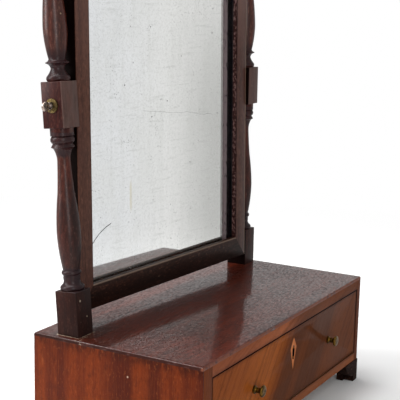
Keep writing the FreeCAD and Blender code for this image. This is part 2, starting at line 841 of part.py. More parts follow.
stud_holes = []
nuts = []
for side_name, side in SIDES.items():
    x = drawer_middle + d.knob_shift + side * d.knob_spacing / 2
    knob = turned(knob_profile(), "knob_turned")
    keep("knob_" + side_name, move(knob, (x, drawer_face, knob_height), TOWARDS_FRONT))
    stud_holes.append(rod(d.stud_radius + d.stud_slack, d.drawer_front_thick, (x, drawer_face, knob_height),
                          ALONG_Y))
    nut = box((x - d.nut_size / 2, x + d.nut_size / 2),
              (drawer_front_back, drawer_front_back + d.nut_thick),
              (knob_height - d.nut_size / 2, knob_height + d.nut_size / 2))
    nuts.append(cut(nut, rod(d.stud_radius, d.nut_thick, (x, drawer_front_back, knob_height), ALONG_Y)))
keep("knob_nuts", together(*nuts, name="nuts"))

front_blank = box((drawer_left, drawer_right), (drawer_face, drawer_front_back), (drawer_low, drawer_high),
                  "front_blank")
keep("drawer_front", cut(front_blank, *drawer_sides.values(), floor_panel, kite, keyhole, lock_blank,
                         *stud_holes, name="drawer_front_cut"))


# ---------------------------------------------------------------- mirror, in its own frame on the hinge line
frame_half = hinge_span / 2 - d.mirror_slack
frame_low = -d.frame_below
frame_high = d.frame_above
frame_front = -d.frame_front_reach
frame_back = frame_front + d.frame_thick
light_half = frame_half - d.stile_width
light_low = frame_low + d.frame_bottom_width
light_high = frame_high - d.frame_top_width
rebate_half = light_half + d.rebate_width
rebate_low = light_low - d.rebate_width
rebate_high = light_high + d.rebate_width
glass_front = frame_front + d.frame_lip
silver_front = glass_front + d.glass_thick
backboard_front = silver_front + d.silver_thick
backboard_back = backboard_front + d.backboard_thick


def keep_on_mirror(name, *pieces):
    """Carry pieces made in the mirror's own frame to where the mirror rests."""
    thing = together(*pieces, name=name + "_placed")
    thing.Placement = mirror_place
    keep(name, thing)


def pane(y):
    """A sheet that lies in the rebate."""
    slack = d.glass_slack
    return box((slack - rebate_half, rebate_half - slack), y, (rebate_low + slack, rebate_high - slack))


rebate = box((-rebate_half, rebate_half), (glass_front, frame_back), (rebate_low, rebate_high), "rebate")
key_middle = (frame_front + frame_back) / 2
keys = []
for side in SIDES.values():
    for z, rise in ((frame_low, 1), (frame_high, -1)):
        x = side * frame_half
        keys.append(prism("XZ", [(x, z), (x - side * d.key_leg, z), (x, z + rise * d.key_leg)],
                          (key_middle - d.key_thick / 2, key_middle + d.key_thick / 2), "corner_key"))

sprigs = []
sprig_line = backboard_back + d.sprig_radius + d.sprig_lift
for side in SIDES.values():
    start = rebate_half - d.sprig_length + d.sprig_depth
    x = start if side == RIGHT else -(start + d.sprig_length)
    for place in (-1, 0, 1):
        sprigs.append(rod(d.sprig_radius, d.sprig_length, (x, sprig_line, place * d.sprig_spacing), ALONG_X))
low_sprig = rebate_low - d.sprig_depth
high_sprig = rebate_high + d.sprig_depth - d.sprig_length
for z in (low_sprig, high_sprig):
    sprigs.append(rod(d.sprig_radius, d.sprig_length, (0, sprig_line, z)))


def nut_plate(side):
    """Threaded plate let into the outer edge of a stile, without and with its hole."""
    x = mirrored(side, frame_half - d.nut_plate_thick, frame_half)
    blank = box(x, (-d.nut_plate_width / 2, d.nut_plate_width / 2),
                (-d.nut_plate_length / 2, d.nut_plate_length / 2))
    thread = rod(d.screw_radius + d.screw_slack, d.nut_plate_thick, (x[0], 0, 0), ALONG_X)
    return blank, cut(blank, thread, name="nut_plate_cut")


def screw_pocket(side):
    x = mirrored(side, frame_half - d.screw_pocket_depth, frame_half)
    return rod(d.screw_radius + d.screw_pocket_slack, d.screw_pocket_depth, (x[0], 0, 0), ALONG_X)


def frame_member(name, corners, *tools):
    """One mitred side of the frame."""
    blank = prism("XZ", corners, (frame_front, frame_back), name + "_blank")
    keep_on_mirror(name, cut(blank, rebate, together(*keys), together(*sprigs), *tools, name=name + "_cut"))


for side_name, side in SIDES.items():
    plate_blank, plate = nut_plate(side)
    keep_on_mirror("nut_plate_" + side_name, plate)
    corners = [(side * frame_half, frame_low), (side * light_half, light_low),
               (side * light_half, light_high), (side * frame_half, frame_high)]
    frame_member("frame_stile_" + side_name, corners, plate_blank, screw_pocket(side))
frame_member("frame_rail_bottom", [(-frame_half, frame_low), (frame_half, frame_low),
                                   (light_half, light_low), (-light_half, light_low)])
frame_member("frame_rail_top", [(-light_half, light_high), (light_half, light_high),
                                (frame_half, frame_high), (-frame_half, frame_high)])
keep_on_mirror("frame_corner_keys", *keys)
keep_on_mirror("mirror_glass", pane((glass_front, silver_front)))
keep_on_mirror("mirror_silvering", pane((silver_front, backboard_front)))
keep_on_mirror("backboard", pane((backboard_front, backboard_back)))
keep_on_mirror("backboard_sprigs", *sprigs)


# ---------------------------------------------------------------- swing screws
def swing_screw(side, name):
    """Thumb screw along the hinge line, drawn from the outside of its rose inwards."""
    skew = hinge_turn.Angle
    tip_clear = d.screw_collar_radius * math.tan(skew) + d.seat_gap
    collar_face = hinge_span / 2 + d.post_block / math.cos(skew) + d.rose_thick + tip_clear
    tip = frame_half - d.screw_grip
    thumb_middle = collar_face + d.thumb_reach
    profile = [(0, tip), (d.screw_radius, tip), (d.screw_radius, collar_face),
               (d.screw_collar_radius, collar_face),
               (d.screw_collar_radius, collar_face + d.screw_collar_length),
               (d.thumb_neck_radius, collar_face + d.screw_collar_length), (d.thumb_neck_radius, thumb_middle),
               (0, thumb_middle)]
    shank = move(turned(profile, "screw_turned"), (0, 0, 0), Rotation(Vector(0, 1, 0), side * 90))
    thumb = rod(d.thumb_radius, d.thumb_thick, (side * thumb_middle, -d.thumb_thick / 2, 0), ALONG_Y)
    screw = together(fuse(shank, thumb, name="screw_fused"), name=name + "_placed")
    screw.Placement = hinge_place
    keep(name, screw)


for side_name, side in SIDES.items():
    swing_screw(side, "swing_screw_" + side_name)


# ---------------------------------------------------------------- check and write
doc.recompute()
for thing in doc.Objects:
    if {"Invalid", "Error"} & set(thing.State):
        raise RuntimeError(f"{thing.Label} failed: {thing.State}")
os.makedirs("parts", exist_ok=True)
for name, thing in NODES.items():
    shape = thing.Shape
    if shape.isNull() or not shape.isValid() or not shape.Solids:
        raise RuntimeError(f"{name} has no valid solid")
    shape.exportStep(f"parts/{name}.step")

whole = FreeCAD.BoundBox()
for thing in NODES.values():
    whole.add(thing.Shape.optimalBoundingBox(False))
print(f"{len(NODES)} nodes, {whole}")
print("hinge line", hinge_left, hinge_right)
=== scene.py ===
# %% [markdown]
# # A dressing-table mirror on its one-drawer box
#
# This lesson dresses a small piece of furniture: a dark frame with an old glass, which swings between
# two turned posts on a veneered box.  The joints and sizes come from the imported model, and every step
# below gives one piece or one finish its look.
#
# The first cell loads that model.  Its pieces sit at the origin with their place in their meshes, in
# metres, so anything new is made where it belongs and never moved.

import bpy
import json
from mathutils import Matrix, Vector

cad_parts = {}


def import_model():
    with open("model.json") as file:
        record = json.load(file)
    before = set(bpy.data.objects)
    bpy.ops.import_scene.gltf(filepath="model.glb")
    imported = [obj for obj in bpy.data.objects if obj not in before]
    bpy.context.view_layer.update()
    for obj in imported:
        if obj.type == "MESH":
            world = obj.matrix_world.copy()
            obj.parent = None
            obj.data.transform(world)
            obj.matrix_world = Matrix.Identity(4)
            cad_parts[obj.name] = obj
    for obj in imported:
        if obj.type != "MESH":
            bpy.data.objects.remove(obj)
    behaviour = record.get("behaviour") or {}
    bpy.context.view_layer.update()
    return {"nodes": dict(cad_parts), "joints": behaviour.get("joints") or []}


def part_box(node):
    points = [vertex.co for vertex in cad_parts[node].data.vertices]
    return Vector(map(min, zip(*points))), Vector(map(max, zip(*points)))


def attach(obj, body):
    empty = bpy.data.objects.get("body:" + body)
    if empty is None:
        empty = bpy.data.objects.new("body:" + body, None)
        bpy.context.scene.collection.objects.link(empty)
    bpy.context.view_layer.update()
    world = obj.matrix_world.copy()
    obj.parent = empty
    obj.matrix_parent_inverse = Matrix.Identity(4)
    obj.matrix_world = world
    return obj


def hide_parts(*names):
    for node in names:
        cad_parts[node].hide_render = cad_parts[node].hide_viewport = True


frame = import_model()
nodes = frame["nodes"]

# %% Tools and units
import bpy
import bmesh
import json
import math
from math import radians
from mathutils import Matrix, Vector

mm = 0.001
scene = bpy.context.scene


def centre_of(node):
    """The middle of a piece's own box."""
    low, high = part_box(node)
    return (low + high) / 2


# %% [markdown]
# ## Camera
#
# A long lens stands to the left of the mirror and a little above it, so the box shows its side, its
# front and its top at once.  A camera looks along its own -Z, so its turn is written as three columns:
# where its right, its up and its back point.

# %% Camera to the left, with a long lens
view_azimuth = radians(-60.613)
view_elevation = radians(10.703)
view_roll = radians(1.265)
view_place = Vector((-1113.15, -600.89, 514.69)) * mm
view_lens = 94.89

flat = math.cos(view_elevation)
back = Vector((math.sin(view_azimuth) * flat, -math.cos(view_azimuth) * flat, math.sin(view_elevation)))
level = Vector((math.cos(view_azimuth), math.sin(view_azimuth), 0))
upright = back.cross(level)
right = level * math.cos(view_roll) + upright * math.sin(view_roll)
up = upright * math.cos(view_roll) - level * math.sin(view_roll)

lens = bpy.data.cameras.new("long_lens")
lens.lens = view_lens
lens.sensor_width = 36
camera = bpy.data.objects.new("camera", lens)
camera.matrix_world = Matrix.Translation(view_place) @ Matrix((right, up, back)).transposed().to_4x4()
scene.collection.objects.link(camera)
scene.camera = camera
scene.view_settings.view_transform = "Standard"
print("camera stands", round(view_place.length, 2), "m from the origin")

# %% [markdown]
# ## Writing materials as sums
#
# A pattern in a material is a chain of small nodes, and long chains of Math nodes are hard to read.  The
# class below wraps one output of a node and answers to +, -, * and **, so a pattern is written as a sum
# and the nodes make themselves.  A recipe holds one material, and its one method adds any other node.

# %% A value that writes its own nodes
class Wire:
    """One value in a material.  A sum written with it adds a Math node."""

    def __init__(self, recipe, socket):
        self.recipe = recipe
        self.socket = socket

    def maths(self, operation, first, second):
        return self.recipe.node("Math", {"operation": operation}, {0: first, 1: second})

    def __add__(self, other):
        return self.maths("ADD", self, other)

    def __sub__(self, other):
        return self.maths("SUBTRACT", self, other)

    def __mul__(self, other):
        return self.maths("MULTIPLY", self, other)

    def __pow__(self, other):
        return self.maths("POWER", self, other)

    def __rsub__(self, other):
        return self.maths("SUBTRACT", other, self)

    __radd__ = __add__
    __rmul__ = __mul__

    def size(self):
        return self.recipe.node("Math", {"operation": "ABSOLUTE"}, {0: self})

    def most(self, other):
        return self.maths("MAXIMUM", self, other)

    def step(self, low, high):
        """0 below low and 1 above high, with a smooth rise between; high may be the lower one."""
        return self.recipe.node("MapRange", {"interpolation_type": "SMOOTHSTEP"},
                                {"Value": self, "From Min": low, "From Max": high}, "Result")

    def between(self, begins, full, fades, ends):
        """1 along one stretch, with a smooth rise before it and a smooth fall after it."""
        return self.step(ends, fades) * self.step(begins, full)


class Recipe:
    """One material, or the world, with short names for the nodes that its pattern uses."""

    def __init__(self, name, steady=None, of_world=False):
        kinds = bpy.data.worlds if of_world else bpy.data.materials
        self.material = kinds.new(name)
        self.material.use_nodes = True
        self.tree = self.material.node_tree
        self.skin = self.tree.nodes["Background" if of_world else "Principled BSDF"]
        for socket, value in (steady or {}).items():
            self.skin.inputs[socket].default_value = value
        self.place = self.node("TexCoord", output="Object")

    def node(self, kind, settings=None, values=None, output=0):
        """Any node: its settings first, then numbers or wires for its sockets."""
        made = self.tree.nodes.new("ShaderNode" + kind)
        for name, value in (settings or {}).items():
            setattr(made, name, value)
        for name, value in (values or {}).items():
            if isinstance(value, Wire):
                self.tree.links.new(value.socket, made.inputs[name])
            else:
                made.inputs[name].default_value = value
        return Wire(self, made.outputs[output])

    def at(self, where=None, scale=(1, 1, 1), turn=(0, 0, 0), shift=(0, 0, 0)):
        """The place on the piece, scaled, turned and then moved."""
        return self.node("Mapping", {}, {"Vector": where or self.place, "Scale": scale,
                                         "Rotation": [radians(a) for a in turn], "Location": shift})

    def axes(self, where=None):
        """The three coordinates of a place, each a wire of its own."""
        parts = self.node("SeparateXYZ", {}, {"Vector": where or self.place})
        return [Wire(self, parts.socket.node.outputs[axis]) for axis in "XYZ"]

    def noise(self, where, per_metre, detail=2.0, rough=0.5, twist=0.0):
        return self.node("TexNoise", {}, {"Vector": where, "Scale": per_metre, "Detail": detail,
                                          "Roughness": rough, "Distortion": twist}, "Fac")

    def spots(self, where, per_metre):
        """Distance from scattered points, in units of their spacing."""
        return self.node("TexVoronoi", {}, {"Vector": where, "Scale": per_metre}, "Distance")

    def mix(self, share, first, second):
        """A colour between two, each a wire or written as tone() gives it."""
        made = self.tree.nodes.new("ShaderNodeMix")
        made.data_type = "RGBA"
        for number, value in ((0, share), (6, first), (7, second)):
            if isinstance(value, Wire):
                self.tree.links.new(value.socket, made.inputs[number])
            else:
                made.inputs[number].default_value = value
        return Wire(self, made.outputs[2])

    def layers(self, colour, *coats):
        """A colour with others laid over it in turn, each given by its share and its screen colour."""
        for share, code in coats:
            colour = self.mix(share, colour, tone(code))
        return colour

    def paint(self, **wires):
        """Join finished wires to the surface, such as base_color or roughness."""
        names = {"base_color": "Base Color", "roughness": "Roughness", "metallic": "Metallic",
                 "coat": "Coat Weight", "alpha": "Alpha"}
        for name, wire in wires.items():
            self.tree.links.new(wire.socket, self.skin.inputs[names[name]])

    def relief(self, height, depth):
        """Small hills and pits, with their full height in metres."""
        bump = self.node("Bump", {}, {"Height": height, "Distance": depth, "Strength": 1.0}, "Normal")
        self.tree.links.new(bump.socket, self.skin.inputs["Normal"])
        return self


def tone(code):
    """A screen colour such as 7a3a22 as the linear colour that a shader reads."""
    parts = [int(code[i:i + 2], 16) / 255 for i in (0, 2, 4)]
    return [p / 12.92 if p < 0.04045 else ((p + 0.055) / 1.055) ** 2.4 for p in parts] + [1.0]


def away_from(point, first, second):
    """Distance from a point that is given by two of its coordinates."""
    return ((first - point[0]) ** 2 + (second - point[1]) ** 2) ** 0.5


print("a mid brown in linear light:", [round(v, 3) for v in tone("7a3a22")])

# %% [markdown]
# ## Stage and light
#
# The piece stands on plain white.  Near it the floor is a real one that takes a soft shadow, with only a
# trace of steady white.  Farther out the steady white takes over, and the floor's far edge disappears
# into a white world.  What polish mirrors has to be equally white in the floor and in the world, or a
# horizon would show in it.

# %% White floor that keeps its shadow
STAGE_REACH = 14.0
WHITE_IN_POLISH = 0.80  # what a polished surface sees of the white studio
FLOOR_WHITE = (0.94, 0.94, 0.94, 1)
FLOOR_STEADY = 0.02  # share of steady white under the object
FLOOR_CLEAR = 0.66  # metres from the middle where the shadowed floor begins to fade
FLOOR_FADED = 1.5  # and where only steady white is left


def rays(recipe, *kinds):
    """1 for a ray of each kind, and 0 for any other."""
    path = recipe.node("LightPath").socket.node
    return [Wire(recipe, path.outputs[f"Is {kind} Ray"]) for kind in kinds]


def seen_or_mirrored(recipe):
    """1 where a ray comes straight from the eye or through glass, and less off something polished."""
    eye, gloss, glass = rays(recipe, "Camera", "Glossy", "Transmission")
    return eye.most(gloss * WHITE_IN_POLISH).most(glass)


def floor_material():
    recipe = Recipe("floor_white")
    x, y, _ = recipe.axes()
    away = ((x * x + y * y) ** 0.5).step(FLOOR_CLEAR, FLOOR_FADED)
    steady = FLOOR_STEADY + away * (1 - FLOOR_STEADY)
    lit = recipe.node("BsdfDiffuse", {}, {"Color": FLOOR_WHITE}, "BSDF")
    seen = recipe.mix(seen_or_mirrored(recipe), (0, 0, 0, 1), (1, 1, 1, 1))
    white = recipe.node("Emission", {}, {"Color": seen}, "Emission")
    both = recipe.node("MixShader", {}, {0: steady, 1: lit, 2: white}, "Shader")
    recipe.tree.links.new(both.socket, recipe.tree.nodes["Material Output"].inputs["Surface"])
    return recipe.material


def made_from(name, shape, material):
    """A new object from a bmesh, with one finish."""
    mesh = bpy.data.meshes.new(name)
    shape.to_mesh(mesh)
    shape.free()
    mesh.materials.append(material)
    thing = bpy.data.objects.new(name, mesh)
    scene.collection.objects.link(thing)
    return thing


def floor():
    sheet = bmesh.new()
    bmesh.ops.create_grid(sheet, x_segments=1, y_segments=1, size=STAGE_REACH)
    thing = made_from("floor", sheet, floor_material())
    return thing


print("floor half-width:", floor().dimensions.x / 2, "m")

# %% [markdown]
# The world gives even light from all round, and three soft boxes give the long, narrow shines that make
# turned and polished wood look round.  The world is white to the eye and dimmer as a lamp, which is what
# Light Path is for.

# %% World and soft boxes
WORLD_AS_LAMP = 0.24


def world():
    recipe = Recipe("studio", {"Color": (1, 1, 1, 1)}, of_world=True)
    eye, gloss = rays(recipe, "Camera", "Glossy")
    seen = eye.most(WORLD_AS_LAMP + gloss * (WHITE_IN_POLISH - WORLD_AS_LAMP))
    recipe.tree.links.new(seen.socket, recipe.skin.inputs["Strength"])
    scene.world = recipe.material


def soft_box(name, place, aim, size, watts):
    lamp = bpy.data.lights.new(name, "AREA")
    lamp.shape = "RECTANGLE"
    lamp.size, lamp.size_y = size
    lamp.energy = watts
    thing = bpy.data.objects.new(name, lamp)
    thing.matrix_world = (Matrix.Translation(place)
                          @ (Vector(aim) - Vector(place)).to_track_quat("-Z", "Y").to_matrix().to_4x4())
    scene.collection.objects.link(thing)


world()
soft_box("box_behind_left", place=(-1.6, 2.1, 1.5), aim=(0, 0, 0.35), size=(0.9, 2.6), watts=88)
soft_box("strip_by_camera", place=(-1.75, -1.45, 1.1), aim=(0, 0, 0.3), size=(0.4, 2.2), watts=25)
soft_box("box_above", place=(-0.3, 0.7, 2.4), aim=(0, 0, 0.1), size=(1.5, 1.5), watts=60)

# %% [markdown]
# ## Wood
#
# All the woods here share one pattern and differ in its sizes and colours.  Wood is long in one
# direction, so the place is squeezed along the grain before any noise reads it.  Broad bands give the
# plank its streaks, a fine noise its fibres, and a noise cut off high leaves only short dark dashes,
# which are the open pores of mahogany.

# %% Grain that every wood shares
SQUEEZE = 0.07  # the place along the grain shrinks this much, so what it reads grows long
LONGER = 0.35  # ribbons, fibres and streaks are longer again
SHORTER = 0.4  # and the tooth is shorter


def lengthways(axis, scale):
    """A scale for one axis that leaves the others alone."""
    return [scale if name == axis else 1 for name in "XYZ"]


class Grain:
    """Bands, ribbons, fibres, tooth and pores that run along one axis, from 0 to 1 each."""

    def __init__(self, recipe, along, turn=(0, 0, 0), shift=(0, 0, 0)):
        squeezed = recipe.at(recipe.at(turn=turn, shift=shift), scale=lengthways(along, SQUEEZE))
        longer = recipe.at(squeezed, scale=lengthways(along, LONGER))
        self.bands = recipe.noise(squeezed, 55, detail=3, rough=0.55, twist=0.6)
        self.ribbons = recipe.noise(longer, 38, detail=1.5, rough=0.4)
        self.fibres = recipe.noise(longer, 900, detail=2, rough=0.6)
        self.streaks = recipe.noise(longer, 210, detail=2, rough=0.6)
        shorter = recipe.at(shift=shift, scale=lengthways(along, SHORTER))
        self.tooth = recipe.noise(shorter, 420, detail=3, rough=0.75)
        self.pores = recipe.noise(squeezed, 1500, detail=1, rough=0.5).step(0.60, 0.70)
        self.clouds = recipe.noise(recipe.at(shift=shift), 9, detail=3, rough=0.55)


def specks(recipe, per_metre, size, keep):
    """Small pale knocks: dots where points are scattered, and only in some places."""
    dots = recipe.spots(recipe.place, per_metre).step(size, size * 0.5)
    return dots * recipe.noise(recipe.place, 35, detail=1).step(keep, keep + 0.06)


print("grain along Z:", lengthways("Z", SQUEEZE))

# %% [markdown]
# Some marks belong to one place on the mirror, such as grime in a corner.  They read a place that is
# turned into the mirror's own plane, with its middle on the hinge line: how far across, how far through
# from front to back, and how far above.

# %% Places on the mirror
swing = next(j for j in frame["joints"] if j["name"] == "mirror_swing")
HINGE = Vector(swing["pos_m"])
HINGE_WAY = Vector(swing["axis"])
MIRROR_YAW = math.degrees(math.atan2(HINGE_WAY.y, HINGE_WAY.x))
MIRROR_TILT = 1.4  # degrees that the mirror leans back
STILE_OUTER = 179.28 * mm  # hinge middle to the outside of the frame
STILE_INNER = 155.98 * mm  # and to the inside of a stile
FRAME_FRONT = 11.0 * mm  # hinge line to the front of the frame
RAIL_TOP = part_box("frame_rail_bottom")[1].z - HINGE.z


def in_mirror(recipe):
    """The place measured from the hinge line, across the mirror, through it and up it."""
    from_hinge = recipe.at(shift=tuple(-HINGE))
    square = recipe.at(from_hinge, turn=(0, 0, -MIRROR_YAW))
    return recipe.at(square, turn=(MIRROR_TILT, 0, 0))


def frame_axes(recipe):
    """Across the mirror, behind the front of its frame, and above the hinge line."""
    across, through, above = recipe.axes(in_mirror(recipe))
    return across, through + FRAME_FRONT, above


print("mirror is turned", round(MIRROR_YAW, 2), "degrees")

# %% [markdown]
# ### Dark polished wood of the posts and the frame
#
# Years of stain and wax have made this wood nearly black in its hollows and red-brown on its swells.
# Its shine is uneven, so the polish gets its own noise, and a few pale knocks show bare wood.  One
# function makes every dark wood, and it can be given another that adds the marks of a single part:
# its wear, and its painted light and shade.

# %% Dark wood, with room for marks
def dark_wood(name, along, base, glow, deep, shine, polish, haze=0.28, shift=(0, 0, 0), wear_and_light=None):
    """The marks function is given recipe and wood, and gives wood with wear and painted light, and its
    dullness.
    """
    recipe = Recipe(name, {"Specular IOR Level": 0.02, "Coat Roughness": haze})
    grain = Grain(recipe, along, shift=shift)
    bare = specks(recipe, 95, 0.12, 0.56)
    wood = recipe.layers(
        tone(base), (grain.bands.step(0.35, 0.68), glow), (grain.streaks.step(0.48, 0.72) * 0.55, deep),
        (grain.clouds.step(0.52, 0.75) * 0.4, deep), (grain.pores * 0.6, "120a08"),
        (grain.tooth.step(0.50, 0.64) * 0.55, deep), (grain.tooth.step(0.45, 0.30) * 0.45, "7c5648"),
        (bare * 0.6, "a58d74"))
    wood, dull = wear_and_light(recipe, wood) if wear_and_light else (wood, bare)
    recipe.paint(base_color=wood, roughness=shine + grain.clouds * 0.18 + grain.pores * 0.15,
                 coat=(1.2 - grain.clouds * 0.8) * polish * (1 - dull))
    hills = grain.fibres * 0.5 + grain.bands * 0.6 - grain.pores * 0.5 - bare
    return recipe.relief(hills, 0.05 * mm).material


foot_wood = dark_wood("foot_wood", "X", "180d0a", "26150f", "0a0504", shine=0.6, polish=0.04)
print("dark wood of the feet:", foot_wood.name)

# %% [markdown]
# A frame shows how it was used, and it also gets painted light and shade.  The outside of a stile,
# beside its post, is painted black as shade, and the front edge of the right stile carries a painted
# highlight.  The narrow face beside the glass has painted glints, a painted dark line at its front edge
# and painted shade where it is deepest, and the stiles lighten towards the top with painted light.  The
# lower rail is darkest at the bottom and has a painted highlight along its top edge.

# %% Frame with painted shade and painted highlights
EDGE_HIGHLIGHT = 0.7  # how strongly a painted highlight shows on an edge
SKIN = 0.3 * mm  # a mark on one face is full from this depth outwards


def stile_marks(recipe, wood):
    """Painted shade, a painted edge highlight, painted glints and painted light towards the top of the
    stiles.
    """
    across, behind, above = frame_axes(recipe)
    outer = across.size().step(STILE_OUTER - 0.7 * mm, STILE_OUTER - SKIN)
    edge = across.step(STILE_OUTER - 1.4 * mm, STILE_OUTER - 0.8 * mm) * behind.step(1 * mm, 0.6 * mm)
    inner = across.size().step(STILE_INNER + 0.6 * mm, STILE_INNER + 0.2 * mm)
    painted_glints = recipe.noise(recipe.at(scale=(1, 1, 0.5)), 420, detail=3, rough=0.7)
    from_arris = (across.size() - STILE_INNER).size()
    arris_shade = from_arris.step(1.2 * mm, 0.5 * mm) * behind.step(2 * mm, 1 * mm)
    # Layers in turn: painted light on the upper stiles, painted shade on the outer face, a painted
    # highlight
    # on the right stile's front edge, the inner face's own colour, painted glints, a painted dark line
    # at
    # the inner face's front edge, and painted shade where the inner face is deepest.
    return recipe.layers(
        wood, (above.step(0.0, 0.2) * across.step(-0.4, 0.1) * 0.7, "8a6a62"),
        (outer * behind.step(0.4 * mm, 1.2 * mm), "0a0302"), (edge * EDGE_HIGHLIGHT, "9a8470"),
        (inner, "2a0f0a"), (inner * painted_glints.step(0.50, 0.60) * 0.8, "8a6a66"), (arris_shade * 0.7, "1a0705"),
        (inner * behind.step(5.8 * mm, 6.8 * mm), "080a0d")), outer


def rail_marks(recipe, wood):
    """The lower rail is blackest at the bottom, and its upper edge has a painted highlight."""
    _, behind, above = frame_axes(recipe)
    black = above.step(RAIL_TOP - 2 * mm, RAIL_TOP - 20 * mm)
    from_brow = (above - RAIL_TOP).size()
    # A painted highlight along the rail's upper front edge.
    brow_highlight = from_brow.step(2.2 * mm, 0.8 * mm) * behind.size().step(2.2 * mm, 0.8 * mm)
    crown = above.step(RAIL_TOP - 0.8 * mm, RAIL_TOP - SKIN)
    wood = recipe.layers(wood, (black * 0.6, "120706"), (crown * 0.5, "2e1e18"),
                         (brow_highlight * EDGE_HIGHLIGHT, "8e7868"))
    return wood, (black * 0.2).most(crown * 0.5)


stile_wood = dark_wood("stile_wood", "Z", "4c2f27", "5c3b2f", "301d18", shine=0.40, polish=0.28,
                       shift=(0.31, 0.12, 0), wear_and_light=stile_marks)
rail_wood = dark_wood("rail_wood", "X", "28160f", "381e15", "140a08", shine=0.36, polish=0.25,
                      shift=(0, 0.27, 0.4), wear_and_light=rail_marks)
print("frame woods:", stile_wood.name, rail_wood.name)

# %% [markdown]
# A post keeps black polish and dust in its turnings, where no cloth reaches, and its lower half is
# dustier.  The hinge block has flat faces, so it looks duller, with painted light on its front and
# painted shade on its other faces.  The faces of the posts towards the mirror get painted shade, and
# two pale knocks sit on the left post's foot.

# %% Posts with their dust and their knocks
POST_SQUARE = 28.0  # mm, as is the place of the right post's foot
POST_FOOT = Vector((198.7, 69.2, 148.0))
POST_FRONT = (POST_FOOT.y - POST_SQUARE / 2) * mm
INWARD_LEAN = 0.86  # degrees
BACK_LEAN = {"left": 5.3, "right": 0.0}
DUSTY_BELOW = (340 * mm, 270 * mm)  # dust begins at the first height and is full at the second
TURNINGS = ((427, 430, 452, 466), (343, 347, 371.5, 372.5), (197, 199, 220, 226))  # mm, dark stretches
HINGE_BLOCK = (371.2, 372.2, 428.2, 429.2)  # mm too
FOOT_CHIPS = ((-204.6 * mm, 188 * mm), (-194.2 * mm, 168.6 * mm))  # across and above


def stretch(z, heights):
    """1 on a stretch of the post, from where it begins and is full to where it fades and ends."""
    return z.between(*[height * mm for height in heights])


def post_marks(recipe, wood):
    """Black polish and dust in the turnings; painted light and shade on the block; painted shade facing
    inwards.
    """
    x, y, z = recipe.axes()
    dust = recipe.noise(recipe.at(scale=(1, 1, 0.3)), 60, detail=4, rough=0.7).step(0.25, 0.6)
    upper, rings, base = [stretch(z, heights) for heights in TURNINGS]
    turnings = upper.most(rings).most(base)
    block = stretch(z, HINGE_BLOCK)
    up = z - POST_FOOT.z * mm
    back = x.step(1 * mm, -1 * mm) * up * math.tan(radians(BACK_LEAN["left"]))
    front = (y - back).step(POST_FRONT + 1.8 * mm, POST_FRONT + 0.8 * mm)
    # Streaks in the painted light on the hinge block's front.
    rubbed = recipe.noise(recipe.at(scale=(1, 1, 0.12)), 300, detail=3).step(0.25, 0.7)
    inwards = x.size() - (POST_FOOT.x - POST_SQUARE / 2) * mm + up * math.tan(radians(INWARD_LEAN))
    # Painted shade on the faces of the posts turned towards the mirror.
    inner_shade = inwards.step(0.8 * mm, SKIN)
    foot = z.step(200 * mm, 197 * mm)
    chips = [(away_from(middle, x, z) + dust * mm).step(2.2 * mm, 1.2 * mm) for middle in FOOT_CHIPS]
    # Painted light on the hinge block's front, and painted shade on its other faces and on the inner
    # faces.
    wood = recipe.layers(
        wood, (z.step(*DUSTY_BELOW) * dust * 0.8, "190b0a"), (turnings * 0.7, "22161a"),
        (block * front * (rubbed * 0.35 + 0.4), "64504a"), (block * (1 - front) * 0.4, "2a1216"),
        (foot * 0.35, "200e08"), *[(chip * 0.75, "a89884") for chip in chips], (inner_shade, "0c0403"))
    dull = (z.step(0.44, 0.42) * 0.25).most(block * 0.6).most(turnings * 0.4).most(foot * 0.65)
    return wood, dull.most(inner_shade)


post_wood = dark_wood("post_wood", "Z", "321711", "54261c", "180b08", shine=0.30, polish=0.56, haze=0.33,
                      wear_and_light=post_marks)
print("wood of the posts:", post_wood.name)

# %% [markdown]
# ### Veneers of the box
#
# The side veneer stands upright and shows broad ribbons, which turn from brick red to orange where the
# fibres lean towards the eye.  It is a thin sheet, so a knock has broken its back edge, and grime has
# settled under the top.

# %% Side veneer
FLECK = (-14.3 * mm, 119.9 * mm)  # y and z of a fleck of paint on the side
KNOCK = (116 * mm, 82.7 * mm)  # and of a knock in its back edge
UNDER_TOP = (130 * mm, 144.5 * mm)  # grime begins at the first height and is full at the second


def side_veneer():
    recipe = Recipe("side_veneer", {"Specular IOR Level": 0.04, "Coat Roughness": 0.3})
    grain = Grain(recipe, "Z")
    _, y, z = recipe.axes()
    mottle = recipe.noise(recipe.at(scale=(1, 1, 0.5)), 150, detail=4, rough=0.7)
    knocked = away_from(KNOCK, y, z).step(5 * mm, 3 * mm) * mottle.step(0.3, 0.5)
    wood = recipe.layers(
        tone("43180c"), (grain.ribbons.step(0.38, 0.62) * 0.9, "6e2d10"),
        (grain.bands.step(0.45, 0.68) * 0.5, "45180c"),
        (grain.streaks.step(0.42, 0.68) * 0.35, "461609"),
        (mottle.step(0.48, 0.66) * 0.35, "3c180e"), (knocked, "180a06"),
        (z.step(*UNDER_TOP) * mottle.step(0.3, 0.6) * 0.8, "2a1009"),
        (grain.fibres.step(0.5, 0.8) * 0.25, "8c4a22"), (grain.clouds.step(0.5, 0.72) * 0.35, "3e160a"),
        (grain.pores * 0.35, "30120c"), (grain.tooth.step(0.52, 0.68) * 0.35, "3a1409"),
        (grain.tooth.step(0.44, 0.30) * 0.25, "94512a"),
        (specks(recipe, 80, 0.12, 0.62) * 0.6, "c8a486"),
        (away_from(FLECK, y, z).step(1.6 * mm, 0.4 * mm) * 0.7, "b89a84"))
    recipe.paint(base_color=wood, roughness=0.36 + grain.clouds * 0.2, coat=0.09 - grain.clouds * 0.08)
    hills = grain.fibres * 0.4 + grain.ribbons * 0.5 - grain.pores * 0.4
    return recipe.relief(hills, 0.12 * mm).material


side_finish = side_veneer()
print("veneer of the sides:", side_finish.name)

